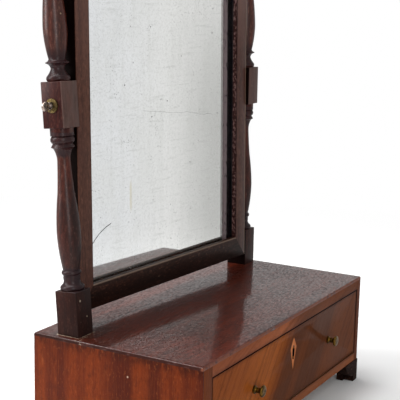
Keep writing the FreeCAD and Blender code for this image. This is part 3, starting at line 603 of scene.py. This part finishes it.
# %% [markdown]
# The top's veneer runs from left to right.  Its old polish is thick, so it gets a clear coat, and pits,
# dents and scratches break up what it mirrors.  The front edge was rubbed through.  Beside the left post
# the top gets painted shadow broken up by stains, and a few crumbs of old glue lie there.

# %% Top veneer
TOP_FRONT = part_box("base_top")[0].y
EDGE_TURNS = (148 * mm, 146.4 * mm)  # heights between which the rounded edge loses its polish
GLUE_ENDS = (58 * mm, 52 * mm)  # y between which the trail of crumbs thins out


def top_veneer():
    recipe = Recipe("top_veneer", {"Specular IOR Level": 0.05, "Coat Roughness": 0.10})
    grain = Grain(recipe, "X", shift=(0.2, 0.05, 0))
    x, y, z = recipe.axes()
    stains = recipe.noise(recipe.at(scale=(0.5, 1, 1)), 26, detail=5, rough=0.68)
    pits = recipe.noise(recipe.at(scale=(0.38, 1, 1)), 420, detail=4, rough=0.85)
    dents = recipe.spots(recipe.at(scale=(0.7, 1, 1)), 70).step(0.16, 0.02)
    dents = dents * recipe.noise(recipe.place, 22, detail=1).step(0.50, 0.62)
    wood = recipe.layers(
        tone("44160b"), (grain.bands.step(0.36, 0.66) * 0.5, "642511"),
        (grain.streaks.step(0.45, 0.70) * 0.3, "1e0a06"), (stains.step(0.46, 0.64) * 0.55, "250d08"),
        (grain.pores * 0.5, "180a08"), (pits.step(0.50, 0.60) * 0.75, "1c0a06"),
        (pits.step(0.44, 0.32) * 0.35, "8c5642"), (dents * 0.6, "1c0c0a"),
        (specks(recipe, 130, 0.10, 0.58) * 0.6, "b08a74"))
    rubbed = z.step(*EDGE_TURNS) * recipe.noise(recipe.place, 120, detail=3).step(0.25, 0.5)
    front = y.step(TOP_FRONT + 4 * mm, TOP_FRONT + 1.5 * mm)
    wood = recipe.mix(rubbed, wood, recipe.mix(front, tone("2e120b"), tone("6c3c2a")))
    aside, behind = (x + POST_FOOT.x * mm).size(), (y - POST_FOOT.y * mm).size()
    from_post = aside.most(behind) - POST_SQUARE / 2 * mm
    crumbs = recipe.noise(recipe.place, 260, detail=3, rough=0.7)
    # Painted shadow round the left post's foot, broken up by stains.
    shadow_and_stains = from_post.step(50 * mm, 0) * stains.step(0.30, 0.55)
    crust = from_post.step(2.2 * mm, 0) * crumbs.step(0.40, 0.55)
    trail = from_post.step(16 * mm, 2 * mm) * y.step(*GLUE_ENDS) * crumbs.step(0.56, 0.66)
    wood = recipe.layers(wood, (shadow_and_stains * 0.4, "1e0e09"), (crust.most(trail * 0.7) * 0.8, "b8a690"))
    gloss = pits.step(0.58, 0.42) * 0.55 + 0.40 - grain.clouds * 0.36
    recipe.paint(base_color=wood, roughness=0.34 + grain.clouds * 0.16, coat=gloss * (1 - rubbed * 0.8))
    ripple = grain.streaks * 0.3 + grain.bands * 0.5 - grain.pores * 0.3 + pits * 1.4
    return recipe.relief(ripple - dents * 1.4 + grain.clouds * 1.2, 0.14 * mm).material


top_finish = top_veneer()
print("veneer of the top:", top_finish.name)

# %% [markdown]
# ### Drawer front
#
# The drawer's veneer was cut near a crotch, so its fibres run down from right to left, and one flank of
# the figure is bright orange while the other stays dark.  The line between them slants up from the left
# and ends over the keyhole.

# %% Drawer veneer and the rails round it
VENEER = 1.2 * mm
FIGURE_SLANT = 39.0  # degrees that the figure leans from upright
FIGURE_FOOT = (-78 * mm, 42 * mm)  # where the dark flank begins, at the drawer's lower edge
FIGURE_WANDERS = 30 * mm  # how far that line strays
FLANK = ((-26 * mm, 40 * mm), (100 * mm, 300 * mm))  # beyond the line: how the dark comes and goes
GLOW = ((-160 * mm, -20 * mm), (-32 * mm, 22 * mm))  # and the bright flank before it
KEYHOLE = sum(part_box("keyhole_inlay"), Vector()) / 2 + Vector((0, 0, 1.1 * mm))
KEYHOLE_HALF = (3.5 * mm, 9.2 * mm)
JOINT = 0.5 * mm  # from the drawer's edge to the middle of the gap round it
drawer_low, drawer_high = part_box("drawer_front")


def beyond_drawer(recipe):
    """How far outside the drawer's edge a place is, seen from the front."""
    x, _, z = recipe.axes()
    middle, half = (drawer_low + drawer_high) / 2, (drawer_high - drawer_low) / 2
    return ((x - middle.x).size() - half.x).most((z - middle.z).size() - half.z)


def in_keyhole(recipe):
    """1 in the keyhole and on its grimy brink, which is an upright oval."""
    x, _, z = recipe.axes()
    across, above = (x - KEYHOLE.x) * (1 / KEYHOLE_HALF[0]), (z - KEYHOLE.z) * (1 / KEYHOLE_HALF[1])
    return (across ** 2 + above ** 2).step(1.1, 0.8)


def figured_veneer(name, face, bright, warm, dark, dusk, flank=1.0, lean=FIGURE_SLANT, low=None):
    """Veneer on the face, which is at y, and the plain board it is glued to behind."""
    recipe = Recipe(name, {"Specular IOR Level": 0.0, "Coat Roughness": 0.2})
    grain = Grain(recipe, "Z", turn=(0, -lean, 0), shift=(0.1, 0, 0.3))
    x, y, z = recipe.axes()
    slant = math.tan(radians(FIGURE_SLANT))
    beyond = x - FIGURE_FOOT[0] - (z - FIGURE_FOOT[1]) * slant + (grain.bands - 0.5) * FIGURE_WANDERS
    shade = beyond.step(*FLANK[0]) * (1 - beyond.step(*FLANK[1]) * 0.45) * flank
    glow = beyond.step(*GLOW[0]) * (1 - beyond.step(*GLOW[1]))
    wood = recipe.layers(
        tone(warm), (glow, bright), (shade, dusk), (grain.streaks.step(0.42, 0.70) * 0.45, dark),
        (grain.ribbons.step(0.45, 0.68) * 0.35, warm), (grain.pores * 0.4, "241009"))
    if low:
        wood = recipe.mix(z.step(60 * mm, 50 * mm) * 0.6, wood, tone(low))
    joint = (beyond_drawer(recipe) - JOINT).size()
    wood = recipe.layers(
        wood, (joint.step(6 * mm, 1 * mm) * grain.clouds.step(0.3, 0.6) * 0.5, "30140b"),
        (joint.step(1.7 * mm, 0.7 * mm) * (z.step(80 * mm, 110 * mm) * 0.5 + 0.45), "1c0903"))
    board = (y - face).step(VENEER * 0.9, VENEER)
    plain = recipe.noise(recipe.at(scale=(0.1, 1, 1)), 260, detail=3, rough=0.6).step(0.4, 0.65)
    wood = recipe.mix(board, wood, recipe.mix(plain, tone("8c6a46"), tone("6c4c2e")))
    wood = recipe.mix(in_keyhole(recipe), wood, tone("120704"))
    recipe.paint(base_color=wood, roughness=0.32 + grain.clouds * 0.16 + board * 0.3,
                 coat=(0.17 - grain.clouds * 0.12) * (1 - board))
    hills = grain.fibres * 0.4 + grain.streaks * 0.4 - grain.pores * 0.4
    return recipe.relief(hills, 0.03 * mm).material


box_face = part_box("front_rail_top")[0].y
drawer_finish = figured_veneer("drawer_veneer", drawer_low.y, "94501f", "7c401b", "4c2511", "54301e")
rail_finish = figured_veneer("rail_veneer", box_face, "965534", "80462b", "4c2714", "56321f",
                             flank=0.8, lean=70, low="925534")
stile_finish = figured_veneer("stile_veneer", box_face, "7a3f1f", "66341c", "45210f", "5a2e1b",
                              flank=0.5, lean=4)
print("figure foot at x =", FIGURE_FOOT[0] / mm, "mm")

# %% [markdown]
# ### Raw wood inside, and the inlay
#
# Inside the box the wood was never polished, so it stayed pale and dull.  The inlay round the keyhole is
# a kite of lighter wood under a thin polish.

# %% Raw wood and inlay
def raw_wood(name, along, light, dark, shift=(0, 0, 0)):
    recipe = Recipe(name, {"Specular IOR Level": 0.25})
    grain = Grain(recipe, along, shift=shift)
    wood = recipe.layers(
        tone(light), (grain.bands.step(0.34, 0.66) * 0.35, dark),
        (grain.streaks.step(0.44, 0.62) * 0.55, dark), (grain.ribbons.step(0.55, 0.62) * 0.4, dark),
        (grain.tooth.step(0.50, 0.66) * 0.3, "4a3420"), (grain.clouds.step(0.5, 0.8) * 0.35, "5a4028"))
    recipe.paint(base_color=wood, roughness=0.72 + grain.fibres * 0.15)
    return recipe.relief(grain.fibres + grain.streaks, 0.12 * mm).material


pine = raw_wood("carcass_pine", "X", "6d4f30", "553a22")
pine_back = raw_wood("pine_lengthways", "Y", "6d4f30", "553a22")
lining = raw_wood("drawer_lining", "Y", "a27a50", "86603c", shift=(0.4, 0, 0))
lining_cross = raw_wood("drawer_lining_cross", "X", "a27a50", "86603c", shift=(0, 0.2, 0))
slip_wood = raw_wood("key_slip", "X", "6a4630", "553522")


def inlay_wood():
    polish = {"Specular IOR Level": 0.0, "Coat Weight": 0.2, "Coat Roughness": 0.15}
    recipe = Recipe("inlay_wood", polish)
    grain = Grain(recipe, "Z")
    wood = recipe.layers(
        tone("c0703a"), (grain.bands.step(0.35, 0.7), "a85e30"),
        (grain.clouds.step(0.55, 0.8) * 0.4, "7c4626"), (in_keyhole(recipe), "160904"))
    recipe.paint(base_color=wood, roughness=0.35 + grain.fibres * 0.1)
    return recipe.relief(grain.fibres, 0.05 * mm).material


inlay_finish = inlay_wood()
print("raw woods and inlay ready")

# %% [markdown]
# ### Metal, silver and glass
#
# Old brass goes brown in patches, with a little green.  The swing screws stayed brightest, and the iron
# is where nobody looks.

# %% Brass and iron
def old_metal(name, bright, brown, rough, green=0.0):
    recipe = Recipe(name, {"Specular IOR Level": 0.15})
    patches = recipe.noise(recipe.place, 220, detail=4, rough=0.65)
    scratches = recipe.noise(recipe.at(scale=(1, 1, 0.1)), 1800, detail=2)
    tarnish = patches.step(0.40, 0.66)
    verdigris = recipe.noise(recipe.place, 480, detail=2).step(0.62, 0.74) * green
    metal = recipe.layers(tone(bright), (tarnish, brown), (verdigris, "4a5a3c"))
    recipe.paint(base_color=metal, roughness=rough + tarnish * 0.22 + scratches * 0.1,
                 metallic=1 - tarnish * 0.45)
    return recipe.relief(patches + scratches * 0.4, 0.06 * mm).material


brass = old_metal("brass", "74623e", "251c10", 0.26, 0.35)
screw_brass = old_metal("screw_brass", "a09086", "1c120e", 0.24)
handled_brass = old_metal("handled_brass", "604618", "1c1105", 0.30, 0.2)
iron = old_metal("iron", "6a6460", "3a2c24", 0.45)
print("metals:", brass.name, iron.name)

# %% [markdown]
# The silver is a mirror with a little haze.  Its spots crowd where damp got in and leave other parts
# clean, so one noise says where they may be and another where each one is.  A long curved scratch is a
# thin ring, cut to a short arc, and a hair crack is a thin line with a little wave.  Painted shade greys
# the silver towards the right and the bottom, and a painted tint makes it bluer at the left.  The glass
# is clear, but near one stile it carries a painted reflection, which shows from the side: a pale strip
# with a dark band beyond it.

# %% Silver and glass
# Places are across and above the hinge line.
SCRATCH_MIDDLE = (-92.6 * mm, -217.1 * mm)
SCRATCH_RADIUS = 73.6 * mm
SCRATCH_ENDS = -110 * mm
CRACK_FROM = (-43 * mm, -22.5 * mm)
CRACK_FALL = 0.10
CRACK_WAVE = 10 * mm
STAIN = (-69 * mm, -118 * mm)
# Across the mirror: where the pale strip of the painted reflection rises, is full, fades and ends.
REFLECTION_STRIP = (137.2 * mm, 138 * mm, 144 * mm, 144.8 * mm)


def old_silver():
    recipe = Recipe("old_silver", {"Metallic": 1.0})
    plane = in_mirror(recipe)
    across, _, above = recipe.axes(plane)
    cloudy = recipe.noise(plane, 16, detail=4, rough=0.6)
    wiped = recipe.noise(recipe.at(plane, scale=(1, 1, 0.12)), 90, detail=3)
    rubbed = recipe.noise(recipe.at(plane, scale=(0.1, 1, 1)), 260, detail=2)
    grey = recipe.noise(plane, 260, detail=4, rough=0.85)
    damp = recipe.noise(plane, 26, detail=3, rough=0.6)
    fine = recipe.spots(plane, 260).step(0.20, 0.08) * damp.step(0.50, 0.62)
    large = recipe.spots(plane, 62).step(0.085, 0.04) * damp.step(0.45, 0.54)
    ring = (away_from(SCRATCH_MIDDLE, across, above) - SCRATCH_RADIUS).size()
    scratch = ring.step(0.8 * mm, 0.3 * mm) * across.step(SCRATCH_ENDS + 4 * mm, SCRATCH_ENDS)
    wave = recipe.noise(recipe.at(plane, scale=(1, 0, 0)), 28, detail=2) * CRACK_WAVE
    from_crack = above - CRACK_FROM[1] + (across - CRACK_FROM[0]) * CRACK_FALL - wave
    crack = from_crack.size().step(0.6 * mm, 0.1 * mm)
    crack = crack * across.between(-50 * mm, -30 * mm, 100 * mm, 125 * mm)
    stain = (across - STAIN[0]).size().step(3.5 * mm, 0)
    stain = stain * (above - STAIN[1]).size().step(22 * mm, 10 * mm)
    # Painted shade: the silver greys towards the right and the bottom, and a painted tint makes it bluer
    # at the left.
    painted_dimming = across.step(-10 * mm, 130 * mm) * above.step(220 * mm, -60 * mm).most(0.35)
    silver = recipe.layers(
        tone("fbfdff"), (across.step(-130 * mm, 40 * mm), "fefefc"),
        (cloudy.step(0.3, 0.7) * 0.5, "f2f3f0"), (painted_dimming * 0.8, "c6c6c3"),
        (wiped.step(0.45, 0.72) * 0.10, "c6c8c0"),
        (rubbed.step(0.56, 0.72) * 0.16, "b0b2ac"), (grey.step(0.46, 0.66) * 0.22, "aeb0ac"),
        (stain * 0.45, "d8cb9c"))
    marks = (fine * 0.7).most(large * 0.8).most(crack * 0.24).most(scratch * 0.95)
    silver = recipe.mix(marks, silver, tone("3a3c3c"))
    recipe.paint(base_color=silver, metallic=1 - marks * 0.9,
                 roughness=0.025 + wiped * 0.02 + marks * 0.4)
    return recipe.material


def clear_glass():
    recipe = Recipe("clear_glass", {"IOR": 1.5})
    plane = in_mirror(recipe)
    across = recipe.axes(plane)[0]
    drawn_up = recipe.at(plane, scale=(1, 1, 0.3))
    smear = recipe.noise(drawn_up, 60, detail=3)
    sideways = recipe.node("LayerWeight", {}, {"Blend": 0.5}, "Facing").step(0.2, 0.45)
    # Painted reflection near the right stile, seen from the side: the mask called dust is its pale
    # strip,
    # and the band beyond it is dark.
    dust = across.between(*REFLECTION_STRIP) * recipe.noise(drawn_up, 300, detail=3).step(0.0, 0.5)
    painted_reflection = (dust * 0.6).most(across.step(*REFLECTION_STRIP[2:]) * 0.5) * sideways
    glass = recipe.mix(smear, tone("5c6a62"), tone("6e7a72"))
    reflected_colours = recipe.mix(dust, tone("08090c"), tone("8c7a7c"))
    recipe.paint(base_color=recipe.mix(painted_reflection.step(0, 0.1), glass, reflected_colours),
                 alpha=0.02 + smear.step(0.5, 0.8) * 0.015 + painted_reflection, roughness=0.02 + painted_reflection * 0.5)
    return recipe.material


silver_finish = old_silver()
glass_finish = clear_glass()
print("scratch radius:", SCRATCH_RADIUS / mm, "mm")

# %% [markdown]
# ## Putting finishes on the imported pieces
#
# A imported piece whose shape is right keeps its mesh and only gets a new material.  Pieces that are
# modelled again below hide theirs.

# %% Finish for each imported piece
FINISHES = (
    (pine, "base_subtop back_board dust_board drawer_stops backboard"),
    (pine_back, "side_core_left side_core_right drawer_runner_left drawer_runner_right"),
    (pine_back, "drawer_kicker_left drawer_kicker_right drawer_guide_left"),
    (foot_wood, "foot_glue_blocks"), (lining, "drawer_side_left drawer_side_right"),
    (lining_cross, "drawer_back drawer_bottom"), (slip_wood, "frame_corner_keys"),
    (glass_finish, "mirror_glass"), (iron, "backboard_sprigs nut_plate_left nut_plate_right"),
    (brass, "knob_nuts lock_bolt rose_left rose_right"), (handled_brass, "lock_case"),
    (inlay_finish, "keyhole_inlay"),
)

for material, names in FINISHES:
    for name in names.split():
        for slot in nodes[name].material_slots:
            slot.material = material
print("dressed", sum(len(names.split()) for _, names in FINISHES), "packed pieces")

# %% [markdown]
# ## Eased edges
#
# No real board ends in a knife edge.  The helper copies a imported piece, joins its loose triangles,
# clears the lines that only divide flat faces, and rounds the long outer edges a little.  The round
# edge catches the light, which is most of what makes a board look solid.

# %% Making a piece from a bmesh
SMOOTH_BELOW = radians(38)
SHARP_ABOVE = radians(60)
FLAT_BELOW = radians(1)
WELD = 0.002 * mm


def piece(name, shape, material, body, *stands_for):
    """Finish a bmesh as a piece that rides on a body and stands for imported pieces."""
    thing = made_from(name, shape, material)
    for face in thing.data.polygons:
        face.use_smooth = True
    thing.data.set_sharp_from_angle(angle=SMOOTH_BELOW)
    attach(thing, body)
    if stands_for:
        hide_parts(*stands_for)
    print(f"{name}: {len(thing.data.polygons)} faces")


def turned(degrees, axis):
    return Matrix.Rotation(radians(degrees), 4, axis)


def move(shape, matrix):
    bmesh.ops.transform(shape, matrix=matrix, verts=shape.verts)


def soften(shape, edges, width, rounds=3):
    bmesh.ops.bevel(shape, geom=edges, offset=width, offset_type="OFFSET", segments=rounds, profile=0.5,
                    affect="EDGES", clamp_overlap=True, material=-1)


def joined_copy(node):
    """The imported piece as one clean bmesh."""
    shape = bmesh.new()
    shape.from_mesh(nodes[node].data)
    bmesh.ops.remove_doubles(shape, verts=shape.verts, dist=WELD)
    bmesh.ops.dissolve_limit(shape, angle_limit=FLAT_BELOW, verts=shape.verts, edges=shape.edges)
    return shape


def long_edges(shape, shortest):
    return [e for e in shape.edges if len(e.link_faces) == 2 and e.calc_length() > shortest
            and e.is_convex and e.calc_face_angle(0) > SHARP_ABOVE]


def eased(node, body, material, width, shortest=12 * mm, keep=lambda edge: True):
    """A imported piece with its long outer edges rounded."""
    shape = joined_copy(node)
    soften(shape, [e for e in long_edges(shape, shortest) if keep(e)], width)
    piece(node + "_eased", shape, material, body, node)


print("edges sharper than", round(math.degrees(SHARP_ABOVE)), "degrees get rounded")

# %% [markdown]
# ### Box
#
# The top's upper edges are rounded most, by years of hands and dusters.

# %% Top, sides, rails and stiles
TOP_ROUND = 3.0 * mm
JOINT_EASE = 0.35 * mm


def board(low, high):
    """A board between two corners."""
    shape = bmesh.new()
    bmesh.ops.create_cube(shape, size=1.0)
    bmesh.ops.scale(shape, verts=shape.verts, vec=high - low)
    bmesh.ops.translate(shape, verts=shape.verts, vec=(low + high) / 2)
    return shape


def top_board():
    low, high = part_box("base_top")
    low = Vector((low.x, low.y, high.z - 4 * mm))
    shape = board(low, high)
    upper = [e for e in shape.edges if all(v.co.z > high.z - 0.1 * mm for v in e.verts)]
    soften(shape, upper, TOP_ROUND, 6)
    piece("top_board", shape, top_finish, "base", "base_top")


top_board()
for side in ("left", "right"):
    eased("side_veneer_" + side, "base", side_finish, JOINT_EASE)
    eased("front_stile_" + side, "base", stile_finish, JOINT_EASE)
eased("front_rail_top", "base", rail_finish, JOINT_EASE, shortest=60 * mm)
eased("front_rail_bottom", "base", rail_finish, JOINT_EASE)

# %% [markdown]
# ### Bracket feet
#
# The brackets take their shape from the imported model, and the mitre between two of them stays sharp.

# %% Feet
for depth in ("front", "back"):
    for side in ("left", "right"):
        for part in ("cross", "side"):
            eased(f"foot_{depth}_{side}_{part}", "base", foot_wood, 0.9 * mm, shortest=10 * mm)

# %% [markdown]
# ### Drawer
#
# The veneered front has crisp edges, rounded only where a thumb would feel them.

# %% Drawer front
drawer_face_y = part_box("drawer_front")[0].y


def on_face(edge):
    return all(abs(v.co.y - drawer_face_y) < 0.1 * mm for v in edge.verts)


eased("drawer_front", "drawer", drawer_finish, 0.45 * mm, shortest=60 * mm, keep=on_face)

# %% [markdown]
# ## Turning
#
# A turned piece is its outline spun round an axis.  The outline is written as the turner would call it
# out: radius, height, and how far the stretch that leads there swells out or, below zero, hollows in.

# %% Spinning an outline
def arc_points(start, end, swell, parts):
    """Points on the arc between two corners of an outline, without its start."""
    chord = end - start
    if not swell:
        return [end]
    half = chord.length / 2
    radius = half * half / (2 * abs(swell)) + abs(swell) / 2
    outwards = Vector((chord.y, -chord.x)).normalized() * (1 if swell > 0 else -1)
    centre = (start + end) / 2 + outwards * (abs(swell) - radius)
    first = start - centre
    whole = first.angle_signed(end - centre)
    points = []
    for number in range(1, parts + 1):
        turn = -whole * number / parts
        points.append(centre + Matrix.Rotation(turn, 2) @ first)
    return points


def spun(outline, around=56, parts=10):
    """Spin an outline of (radius, height, swell) in mm round its own Z."""
    points = [Vector(outline[0][:2])]
    for corner in outline[1:]:
        end = Vector(corner[:2])
        points += arc_points(points[-1], end, corner[2] if len(corner) > 2 else 0.0, parts)
    shape = bmesh.new()
    corners = [shape.verts.new((p.x * mm, 0, p.y * mm)) for p in points]
    edges = [shape.edges.new(pair) for pair in zip(corners, corners[1:])]
    bmesh.ops.spin(shape, geom=corners + edges, cent=(0, 0, 0), axis=(0, 0, 1), angle=math.tau,
                   steps=around, use_merge=True)
    bmesh.ops.remove_doubles(shape, verts=shape.verts, dist=WELD)
    bmesh.ops.recalc_face_normals(shape, faces=shape.faces)
    return shape


print("one swell becomes", len(arc_points(Vector((0, 0)), Vector((0, 2)), 1, 8)), "points")

# %% [markdown]
# ### Posts
#
# Each post comes from square stock, which stays square at its foot and where the swing screw goes
# through.  The left one has worked loose and leans back.

# %% Post outline and its squares
FOOT_BLOCK = 49.8  # mm, height of the square foot
PIVOT_RISE = 252.4  # from the foot to the swing screw
BLOCK_BELOW = 24.6  # and the hinge block below and above the screw
BLOCK_ABOVE = 25.7

# Corners of the outline: radius, height over the foot block or over the hinge block's edge, and swell.
ABOVE_FOOT = [(12.3, -6), (12.3, 0), (12.3, 5.4, 1.2), (9.5, 12.2, -1.2), (9.5, 16.8), (9.2, 22.4, 1.7),
              (13.3, 65.2, 1.0), (9.6, 107, 0.6)]
BELOW_BLOCK = [(7.4, -38, -0.2), (10.7, -22.5, -1.2), (13.2, -21), (11.0, -17.2), (11.0, -8.6, 2.3),
               (13.0, -8.6), (13.0, 0), (11.0, 0)]
ABOVE_BLOCK = [(11.0, 0), (11.9, 0), (11.9, 6.0, 1.2), (7.6, 13.6, -0.5), (12.7, 19.4, -1.3),
               (12.7, 20.6, 0.3), (9.2, 23.8, -0.6), (13.2, 56.5, 0.9), (10.0, 95, 0.5),
               (6.8, 118, -0.3), (10.2, 129.5, -1.2), (10.2, 133.5, 1.2), (4.6, 140, -1.4),
               (3.0, 157, 5.4), (0.8, 161.6, 1.0), (0, 161.6)]


def raised(corners, height):
    return [(radius, rise + height, *swell) for radius, rise, *swell in corners]


def post_outline(low, high):
    return raised(ABOVE_FOOT, FOOT_BLOCK) + raised(BELOW_BLOCK, low) + raised(ABOVE_BLOCK, high)


def square_block(low, high):
    half = POST_SQUARE / 2
    shape = board(Vector((-half, -half, low)) * mm, Vector((half, half, high)) * mm)
    soften(shape, list(shape.edges), 0.8 * mm)
    return shape


def add(shape, other):
    """Put a second bmesh into the first."""
    mesh = bpy.data.meshes.new("passing")
    other.to_mesh(mesh)
    other.free()
    shape.from_mesh(mesh)
    bpy.data.meshes.remove(mesh)


def post(side):
    sign = -1 if side == "left" else 1
    lean = turned(-BACK_LEAN[side], "X") @ turned(-sign * INWARD_LEAN, "Y")
    rise = PIVOT_RISE / lean.col[2].z
    foot = Vector((sign * POST_FOOT.x, POST_FOOT.y, POST_FOOT.z)) * mm
    shape = spun(post_outline(rise - BLOCK_BELOW, rise + BLOCK_ABOVE))
    add(shape, square_block(-3, FOOT_BLOCK))
    add(shape, square_block(rise - BLOCK_BELOW, rise + BLOCK_ABOVE))
    move(shape, Matrix.Translation(foot) @ lean)
    everything = list(shape.verts) + list(shape.edges) + list(shape.faces)
    planed = bmesh.ops.bisect_plane(shape, geom=everything, plane_co=(0, 0, foot.z), plane_no=(0, 0, 1),
                                    clear_inner=True)
    cut = [e for e in planed["geom_cut"] if isinstance(e, bmesh.types.BMEdge)]
    bmesh.ops.holes_fill(shape, edges=cut)
    piece("turned_post_" + side, shape, post_wood, "base", "post_" + side)


for side in ("left", "right"):
    post(side)

# %% [markdown]
# ### Knobs and swing screws
#
# The knobs are small and thin-necked.  A swing screw ends in a flat thumb piece: a short round bar whose
# ends are rounded until it looks like a worn coin.

# %% Brass pieces
LIE_FORWARD = turned(90, "X")
THUMB_RADIUS = 5.3  # mm
THUMB_OUT = 6.6  # mm, from the collar to the thumb piece's middle


def knob(side):
    middle = centre_of("knob_" + side)
    shape = spun([(0, 0), (4.8, 0), (4.8, 1.6), (3.3, 4.8, -0.8), (6.3, 9.6, -1.6), (6.3, 12.0, 0.6),
                  (2.0, 12.8, 0.27), (0, 12.8)], around=40, parts=7)
    place = Matrix.Translation((middle.x, drawer_face_y, middle.z))
    move(shape, place @ LIE_FORWARD)
    piece("turned_knob_" + side, shape, handled_brass, "drawer", "knob_" + side)


def swing_screw(side):
    sign = -1 if side == "left" else 1
    low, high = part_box("swing_screw_" + side)
    outer = abs(low.x if sign < 0 else high.x) / mm
    collar = outer - THUMB_RADIUS - THUMB_OUT
    shank = spun(raised([(0, -44), (2.5, -44), (2.5, 0), (4.2, 0), (4.2, 1.8, 0.3), (2.6, 2.6, -0.2),
                         (2.6, 6)], collar), around=32, parts=5)
    move(shank, turned(sign * 90, "Y"))
    thumb = spun([(0, -1.9), (4.2, -1.9), (THUMB_RADIUS, -0.9, 0.3), (THUMB_RADIUS, 0.9),
                  (4.2, 1.9, 0.3), (0, 1.9)], around=32, parts=4)
    at_end = Matrix.Translation((sign * (collar + THUMB_OUT) * mm, 0, 0))
    move(thumb, at_end @ LIE_FORWARD)
    add(shank, thumb)
    move(shank, Matrix.Translation(HINGE) @ turned(MIRROR_YAW, "Z"))
    piece("thumb_screw_" + side, shank, screw_brass, "screw_" + side, "swing_screw_" + side)


for side in ("left", "right"):
    knob(side)
    swing_screw(side)

# %% [markdown]
# ## Frame
#
# The frame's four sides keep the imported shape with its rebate, mitres and holes.  Only the long edges
# are eased, on the front and the back and round the outside, and the mitres stay tight.

# %% Frame sides
NEARLY_SQUARE = 0.995
mirror_square = (Matrix.Rotation(radians(MIRROR_YAW), 3, "Z")
                 @ Matrix.Rotation(radians(-MIRROR_TILT), 3, "X"))


def not_in_mitre(edge):
    """An edge belongs to a mitre if one of its faces is square to none of the mirror's axes."""
    for face in edge.link_faces:
        facing = mirror_square.transposed() @ face.normal
        if max(abs(v) for v in facing) < NEARLY_SQUARE:
            return False
    return True


for side in ("left", "right"):
    eased("frame_stile_" + side, "mirror", stile_wood, 0.9 * mm, 200 * mm, not_in_mitre)
for end in ("bottom", "top"):
    eased("frame_rail_" + end, "mirror", rail_wood, 0.9 * mm, 200 * mm, not_in_mitre)

# %% [markdown]
# ### Silvering
#
# Silvering touches the back of its glass.  A ray could then meet either sheet first and the mirror would
# break into dark triangles, so the front of the silver is moved back by a twentieth of a millimetre.

# %% Silver sheet
SILVER_CLEAR = 0.05 * mm


def silver_sheet():
    shape = joined_copy("mirror_silvering")
    into = mirror_square @ Vector((0, 1, 0))
    nearest = min(v.co.dot(into) for v in shape.verts)
    front = [v for v in shape.verts if v.co.dot(into) < nearest + SILVER_CLEAR]
    bmesh.ops.translate(shape, verts=front, vec=into * SILVER_CLEAR)
    piece("silver_sheet", shape, silver_finish, "mirror", "mirror_silvering")


silver_sheet()
